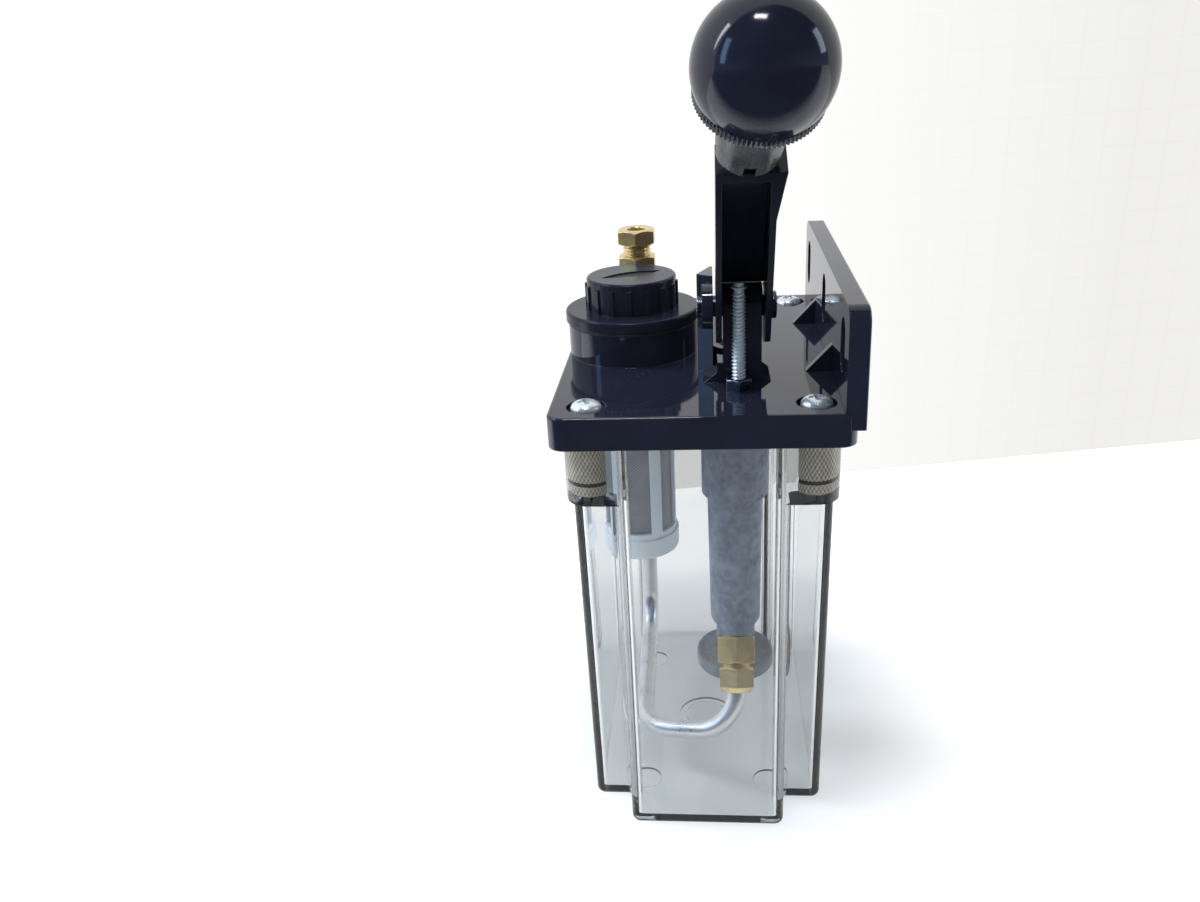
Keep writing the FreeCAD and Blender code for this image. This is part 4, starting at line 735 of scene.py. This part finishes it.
def make_outlet(material):
    """Outlet connector: hexagon, thread and clamping nut."""
    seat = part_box("outlet_backnut")[1].z / MM + LID_THICKNESS + OUTLET_BOSS
    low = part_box("outlet_fitting")[0].z / MM - seat
    bore, shank = 3.1, THREAD_WIDTH / 2
    rows = turned([(bore, 6.0), (bore, low), (shank - 0.4, low), (shank, low + 0.5), (shank, -0.6),
                   (4.5, -0.5), (4.5, 0.0)])
    rows += hex_rings(HEX_FLATS, 0.0, HEX_HEIGHT)
    rows += fitting_thread(HEX_HEIGHT, 19.2)
    rows += turned([(4.2, 19.6), (3.6, 19.6), (bore, 19.2)])
    fitting = skin("outlet_connector", rows, outlet_place(seat * MM), loop=True)
    finish_piece(fitting, material, "housing", "brass", "outlet_fitting")
    place = outlet_place(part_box("outlet_nut")[0].z)
    nut = bored_hex("outlet_gland", HEX_FLATS, OUTLET_NUT_HEIGHT, TUBE_BORE, place)
    finish_piece(nut, material, "housing", "brass", "outlet_nut")
    place = outlet_place(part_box("outlet_backnut")[0].z)
    ring_nut = bored_hex("outlet_ring_nut", HEX_FLATS, BACKNUT_HEIGHT, THREAD_WIDTH, place)
    finish_piece(ring_nut, material, "housing", "brass", "outlet_backnut")


def delivery_place(distance):
    """A frame on the slanted delivery axis, its Z down and forward."""
    turn = Matrix.Rotation(math.pi - DELIVERY_TILT, 4, "X")
    return Matrix.Translation(DELIVERY_ROOT) @ turn @ Matrix.Translation((0, 0, distance * MM))


def make_delivery(material):
    """Slanted delivery connector under the pump with its tube nut."""
    passage, socket = 1.3, 3.1
    rows = turned([(passage, -4.0), (3.7, -4.0), (4.0, -3.7), (4.0, 0.0)])
    rows += hex_rings(HEX_FLATS, 0.0, DELIVERY_HEX)
    rows += fitting_thread(DELIVERY_HEX, 15.7)
    rows += turned([(3.6, 16.0), (socket, 15.9), (socket, 4.6), (passage, 4.5)])
    fitting = skin("delivery_connector", rows, delivery_place(DELIVERY_SEAT), loop=True)
    finish_piece(fitting, material, "housing", "brass", "delivery_fitting")
    rows = hex_rings(DELIVERY_NUT_FLATS, 0.0, 6.3, True, False)
    rows += turned([(5.4, 6.4), (5.2, 7.2), (4.6, 8.0), (3.7, 8.0), (3.15, 7.4), (3.15, 5.7), (4.75, 5.6),
                    (4.75, 0.3)])
    place = delivery_place(DELIVERY_SEAT + DELIVERY_HEX + DELIVERY_GAP)
    nut = skin("delivery_gland", rows, place, loop=True)
    finish_piece(nut, material, "housing", "brass", "delivery_nut")


def make_knob(material):
    """Polished ball with a serrated band round its lower part."""
    turn = KNOB_AXIS.normalized().to_track_quat("Z", "Y").to_matrix().to_4x4()
    radius = 16.0
    bore, bore_core, recess = 8.85, 4.9, 1.4
    band_low, band_high, band, tooth = -8.7, -5.7, 14.95, 0.4
    teeth = 90
    segments = teeth * 4
    low_rows, dome_rows = 8, 41

    def ball(height):
        return math.sqrt(radius ** 2 - height ** 2)

    start = -ball(bore)
    rows = turned([(bore_core, start + recess), (bore - 0.15, start + recess)], segments)
    heights = [start + (band_low - start) * step / low_rows for step in range(low_rows + 1)]
    rows += turned([(ball(height), height) for height in heights], segments)
    rises = ((band_low + 0.05, 0.2), (band_low + 0.3, 1.0), (band_high - 0.25, 1.0), (band_high - 0.05, 0.6))
    for height, amount in rises:
        def reach(angle):
            wave = 0.5 + 0.5 * math.cos(teeth * angle)
            return ball(height) + (band - ball(height)) * amount - tooth * amount * (1 - wave)

        rows.append(ring(segments, reach, height))
    rounds = [math.sin(math.pi / 2 * step / dome_rows) for step in range(dome_rows)]
    heights = [band_high + (radius - band_high) * share for share in rounds]
    rows += turned([(ball(height), height) for height in heights], segments)
    piece = skin("serrated_ball", rows, Matrix.Translation(KNOB) @ turn, sharp=50.0)
    return finish_piece(piece, material, "lever", "black_plastic", "ball_knob")


def make_crown(material):
    """Rounded crown of the tower's head, which closes the view under the lever's web."""
    pivot = middle("pivot_pin")
    lever_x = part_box("lever")[0].x + LEVER_WIDTH / 2 * MM
    place = Matrix.Translation((lever_x, pivot.y, pivot.z)) @ Matrix.Rotation(math.pi / 2, 4, "Y")
    reach, inner, half, chamfer = 6.64, 5.7, 5.7, 0.25
    arc_start, arc_step, arc_steps = 62, 7, 15
    arc = [math.radians(arc_start + arc_step * step) for step in range(arc_steps)]
    outline = [(reach, turn) for turn in arc] + [(inner, turn) for turn in reversed(arc)]
    rows = []
    ends = ((chamfer, -half), (0.0, chamfer - half), (0.0, half - chamfer), (chamfer, half))
    for inset, along in ends:
        row = []
        for radius, turn in outline:
            out = radius - inset if radius == reach else radius
            row.append(Vector((-out * math.sin(turn), out * math.cos(turn), along)) * MM)
        rows.append(row)
    piece = skin("tower_crown", rows, place)
    piece.data.materials.append(material)
    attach(piece, "housing")


def make_spring(material):
    """Round-wire return spring, with a mesh of its own."""
    low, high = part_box("piston_spring")
    axis = (low + high) / 2
    wire, turns, sides, wire_sides = 1.18, 9, 40, 10
    radius = (high.x - low.x) / 2 / MM - 0.62
    bottom, top = low.z / MM + 0.65, high.z / MM - 0.65
    upward = Vector((0, 0, 1))
    rows = []
    for step in range(turns * sides + 1):
        angle = TURN * step / sides
        outward = Vector((math.cos(angle), math.sin(angle), 0))
        heart = outward * radius + upward * (bottom + (top - bottom) * step / turns / sides)
        leans = [TURN * corner / wire_sides for corner in range(wire_sides)]
        spokes = [outward * math.cos(lean) + upward * math.sin(lean) for lean in leans]
        rows.append([(heart + spoke * wire / 2) * MM for spoke in spokes])
    piece = skin("return_spring", rows, Matrix.Translation((axis.x, axis.y, 0)))
    finish_piece(piece, material, "housing", "spring_steel", "piston_spring")
    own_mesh(piece)


# Stage


def plane(name, size, place):
    """A square of the stage, twice the size across."""
    mesh = bmesh.new()
    bmesh.ops.create_grid(mesh, x_segments=1, y_segments=1, size=size)
    piece = as_object(name, mesh)
    piece.matrix_world = place
    return piece


def make_floor():
    """Pale floor: white in the open, with the object's shadow deepened by a painted shadow round the object
    and by painted shade seen through the tank, and darker towards the room in mirrors.
    """
    floor = plane("floor", 6.0, Matrix.Translation((0, 0, -0.0002)))
    shader = Shader("floor_paper", Roughness=0.9, Specular_IOR_Level=0.0)
    paper = [(0.3, (0.86, 0.865, 0.875)), (0.7, (0.875, 0.88, 0.89))]
    shader.to("Base Color", shader.ramp(shader.noise(3.0, 3.0), paper))
    seen = shader.node("ShaderNodeLightPath")
    passing = seen.outputs["Is Transmission Ray"]
    bent = shader.math("ADD", seen.outputs["Is Glossy Ray"], passing, clamp=True)
    split = shader.node("ShaderNodeSeparateXYZ")
    shader.link(shader.place, split.inputs[0])
    away = shader.node("ShaderNodeVectorMath", operation="LENGTH")
    shader.link(shader.place, away.inputs[0])
    # The floor glows more away from the object, which lifts the open paper to white and leaves a painted
    # shadow round the object, where the glow is weaker
    outside_painted_shadow = shader.math("MULTIPLY_ADD", away.outputs["Value"], 16.0, -0.9, clamp=True)
    floor_glow_with_painted_shadow = shader.math("MULTIPLY_ADD", outside_painted_shadow, 0.38, 0.16)
    glow = shader.math("ADD", seen.outputs["Is Camera Ray"], bent, clamp=True)
    # Seen through the tank the floor glows less: painted shade on the floor behind and under the tank.
    painted_shade_through_tank = shader.math("MULTIPLY_ADD", passing, -0.3, 1.0)
    lit = shader.math("MULTIPLY", shader.math("MULTIPLY", glow, painted_shade_through_tank), floor_glow_with_painted_shadow)
    # It darkens in front of the object, sooner in mirrors than through the tank
    mirrored = shader.math("MULTIPLY_ADD", split.outputs["Y"], -9.0, -0.5, clamp=True)
    through = shader.math("MULTIPLY_ADD", split.outputs["Y"], -4.0, -0.8, clamp=True)
    change = shader.math("SUBTRACT", through, mirrored)
    reached = shader.math("MULTIPLY_ADD", change, passing, mirrored)
    dark = shader.math("MULTIPLY", reached, bent)
    lamp = shader.node("ShaderNodeEmission")
    shader.link(lit, lamp.inputs["Strength"])
    both = shader.node("ShaderNodeAddShader")
    shader.link(shader.surface.outputs["BSDF"], both.inputs[0])
    shader.link(lamp.outputs["Emission"], both.inputs[1])
    shade = shader.node("ShaderNodeEmission")
    shade.inputs["Color"].default_value = (0.75, 0.87, 1.0, 1.0)
    shade.inputs["Strength"].default_value = 0.08
    mix = shader.node("ShaderNodeMixShader")
    shader.link(dark, mix.inputs[0])
    shader.link(both.outputs["Shader"], mix.inputs[1])
    shader.link(shade.outputs["Emission"], mix.inputs[2])
    shader.link(mix.outputs["Shader"], shader.output.inputs["Surface"])
    floor.data.materials.append(shader.material)


RULES_PER_METRE = 60.0
# A ruled line's width as a share of their spacing
RULE_WIDTH = 0.06


def make_wall():
    """Pale wall: warm grey and faintly ruled, with painted light that turns it white and washes out the
    rules towards the left; only its front shows.
    """
    turn = Matrix.Rotation(WALL_TURN, 4, "Z") @ Matrix.Rotation(math.pi / 2, 4, "X")
    wall = plane("wall", 4.0, Matrix.Translation(WALL_PLACE) @ turn)
    shader = Shader("wall_paint")
    split = shader.node("ShaderNodeSeparateXYZ")
    shader.link(shader.place, split.inputs[0])
    lines = []
    for axis in ("X", "Y"):
        phase = shader.math("FRACT", shader.math("MULTIPLY", split.outputs[axis], RULES_PER_METRE))
        lines.append(shader.math("LESS_THAN", phase, RULE_WIDTH))
    ruled = shader.math("MULTIPLY", shader.math("MAXIMUM", *lines), shader.noise(25.0, 3.0))
    # Painted light: the wall goes from white on the left to its warm grey on the right, and the rules fade
    # into the white.
    side = shader.math("MULTIPLY_ADD", split.outputs["X"], 5.0, 0.35, clamp=True)
    tone = shader.mixed(side, (1.02, 1.02, 1.02), (0.878, 0.872, 0.838))
    faint = shader.math("MULTIPLY", shader.math("MULTIPLY", ruled, side), 0.16)
    tone = shader.mixed(faint, tone, (0.70, 0.69, 0.67))
    seen = shader.node("ShaderNodeLightPath")
    glow = shader.math("MULTIPLY_ADD", seen.outputs["Is Glossy Ray"], -0.15, 1.0)
    lamp = shader.node("ShaderNodeEmission")
    shader.link(tone, lamp.inputs["Color"])
    shader.link(glow, lamp.inputs["Strength"])
    clear = shader.node("ShaderNodeBsdfTransparent")
    back = shader.node("ShaderNodeNewGeometry").outputs["Backfacing"]
    plain = shader.math("MAXIMUM", seen.outputs["Is Shadow Ray"], seen.outputs["Is Diffuse Ray"])
    mix = shader.node("ShaderNodeMixShader")
    shader.link(shader.math("MAXIMUM", back, plain), mix.inputs[0])
    shader.link(lamp.outputs["Emission"], mix.inputs[1])
    shader.link(clear.outputs["BSDF"], mix.inputs[2])
    shader.link(mix.outputs["Shader"], shader.output.inputs["Surface"])
    wall.data.materials.append(shader.material)


def make_world():
    """Soft light from all round; a dim bluish room in mirrors, and white for what looks past the wall."""
    open_air, room_blue = (1.0, 0.995, 0.985, 1.0), (0.72, 0.86, 1.15, 1.0)
    diffuse_level = 0.52
    world = bpy.data.worlds.new("room")
    bpy.context.scene.world = world
    world.use_nodes = True
    tree = world.node_tree
    background = tree.nodes["Background"]
    path = tree.nodes.new("ShaderNodeLightPath")
    split = tree.nodes.new("ShaderNodeSeparateXYZ")
    tree.links.new(tree.nodes.new("ShaderNodeTexCoord").outputs["Generated"], split.inputs[0])

    def calc(operation, first, second, third=0.0, clamp=False):
        node = tree.nodes.new("ShaderNodeMath")
        node.operation = operation
        node.use_clamp = clamp
        for socket, given in zip(node.inputs, (first, second, third)):
            if isinstance(given, float):
                socket.default_value = given
            else:
                tree.links.new(given, socket)
        return node.outputs[0]

    level = calc("MULTIPLY_ADD", calc("ABSOLUTE", split.outputs["Z"], 0.0), -2.5, 1.0, clamp=True)
    sides = calc("MULTIPLY", calc("ABSOLUTE", split.outputs["X"], 0.0), level)
    room = calc("MULTIPLY_ADD", sides, 0.30, 0.055)
    bent = calc("ADD", path.outputs["Is Glossy Ray"], path.outputs["Is Transmission Ray"], clamp=True)
    camera = path.outputs["Is Camera Ray"]
    rest = calc("SUBTRACT", 1.0, calc("ADD", bent, camera, clamp=True))
    shown = calc("ADD", camera, calc("MULTIPLY", bent, room))
    strength = calc("ADD", shown, calc("MULTIPLY", rest, diffuse_level))
    tree.links.new(strength, background.inputs["Strength"])
    mix = tree.nodes.new("ShaderNodeMix")
    mix.data_type = "RGBA"
    tree.links.new(bent, mix.inputs[0])
    mix.inputs[MIX_FIRST].default_value = open_air
    mix.inputs[MIX_SECOND].default_value = room_blue
    tree.links.new(mix.outputs[MIX_RESULT], background.inputs["Color"])


def area_lamp(name, place, aim, size, watts, colour):
    """A soft rectangular lamp at a place, turned to its aim."""
    data = bpy.data.lights.new(name, "AREA")
    data.shape = "RECTANGLE"
    data.size, data.size_y = size
    data.energy = watts
    data.color = colour
    lamp = bpy.data.objects.new(name, data)
    lamp.location = place
    lamp.rotation_mode = "QUATERNION"
    lamp.rotation_quaternion = (Vector(aim) - Vector(place)).to_track_quat("-Z", "Y")
    bpy.context.scene.collection.objects.link(lamp)


def make_lamps():
    """A large window on the left with a blue pane, a small one on the right, and the ceiling."""
    centre = (0.0, 0.0, 0.12)
    area_lamp("window_left", (-1.15, 0.10, 1.05), centre, (0.45, 0.75), 13.0, (0.86, 0.93, 1.0))
    area_lamp("window_left_near", (-1.2, -0.55, 0.75), centre, (0.22, 0.75), 2.6, (0.34, 0.60, 1.0))
    area_lamp("window_right", (1.35, 0.05, 0.75), centre, (0.3, 0.6), 2.5, (0.70, 0.86, 1.0))
    area_lamp("ceiling", (-0.12, -0.40, 1.6), centre, (0.35, 0.16), 6.0, (1.0, 0.98, 0.95))


# Assembly

# Brass with pale edges: partly rubbed brass, partly a painted highlight.
brass = metal("brass", (0.74, 0.55, 0.22), (0.90, 0.72, 0.37), 0.27, 900.0, marks=0.01, body=0.86,
              edge_wear_and_highlight=(0.97, 0.88, 0.60))
old_brass = knurled_brass()
zinc = metal("zinc_steel", (0.70, 0.78, 0.86), (0.86, 0.93, 0.98), 0.36, marks=0.02, body=0.78)
# The stop screw's zinc is a brighter, bluer and less metallic copy of the lid screws' zinc: painted light
# for the reflection its top and thread show.
stop_zinc_painted_light = metal("stop_zinc_painted_light", (0.60, 0.76, 0.90), (0.80, 0.92, 1.0), 0.28, marks=0.0, body=0.55)
# Dark steel with wide pale edges: partly rubbed metal, partly a painted highlight.
dark_steel = metal("dark_steel", (0.05, 0.058, 0.082), (0.12, 0.13, 0.165), 0.34, edge=0.45,
                   edge_wear_and_highlight=(0.80, 0.86, 0.94))
spring_steel = metal("spring_steel", (0.40, 0.41, 0.43), (0.62, 0.63, 0.65), 0.4)
tube_alloy = metal("tube_alloy", (0.62, 0.64, 0.67), (0.86, 0.87, 0.89), 0.42, 700.0, marks=0.16)
black = gloss_black("black_plastic", (0.014, 0.0165, 0.031), 0.05, 0.10)
black_paint = gloss_black("black_steel", (0.0085, 0.010, 0.0175), 0.14, 0.14, 0.15, 0.16)
matte_black = gloss_black("matte_black", (0.010, 0.012, 0.019), 0.5, 0.1, 0.0, 0.1)
ball_black = gloss_black("ball_black", (0.010, 0.012, 0.024), 0.08, 0.03, 0.1, 0.40)
seal = rubber()

FINISHES = {
    "reservoir": clear_plastic(),
    "lid_gasket": seal,
    "lid": black,
    "side_plate": black,
    "strainer_frame": milky_plastic(),
    "strainer_mesh": woven_mesh(middle("strainer_mesh")),
    "filler_cap": cap_plastic(),
    "cap_seal": seal,
    "pump_barrel": mottled_barrel(),
    "rod_seal": seal,
    "piston": brass,
    "piston_seal": seal,
    "piston_rod": dark_steel,
    "suction_filter": felt(),
    "filter_stem": brass,
    "suction_ball": dark_steel,
    "delivery_tube": tube_alloy,
    "lever": black_paint,
    "knob_sleeve": smoky_sleeve(),
    "pivot_pin": dark_steel,
    "link_pin": dark_steel,
}
for label, finish in FINISHES.items():
    mesh = nodes[label].data
    mesh.materials.clear()
    mesh.materials.append(finish)

make_camera()
make_screws(zinc)
make_inserts(old_brass)
make_stroke_screw(stop_zinc_painted_light)
make_lock_nut(dark_steel)
make_outlet(brass)
make_delivery(brass)
make_knob(ball_black)
make_crown(matte_black)
make_spring(spring_steel)
make_floor()
make_wall()
make_world()
make_lamps()
bpy.context.scene.view_settings.view_transform = "Standard"
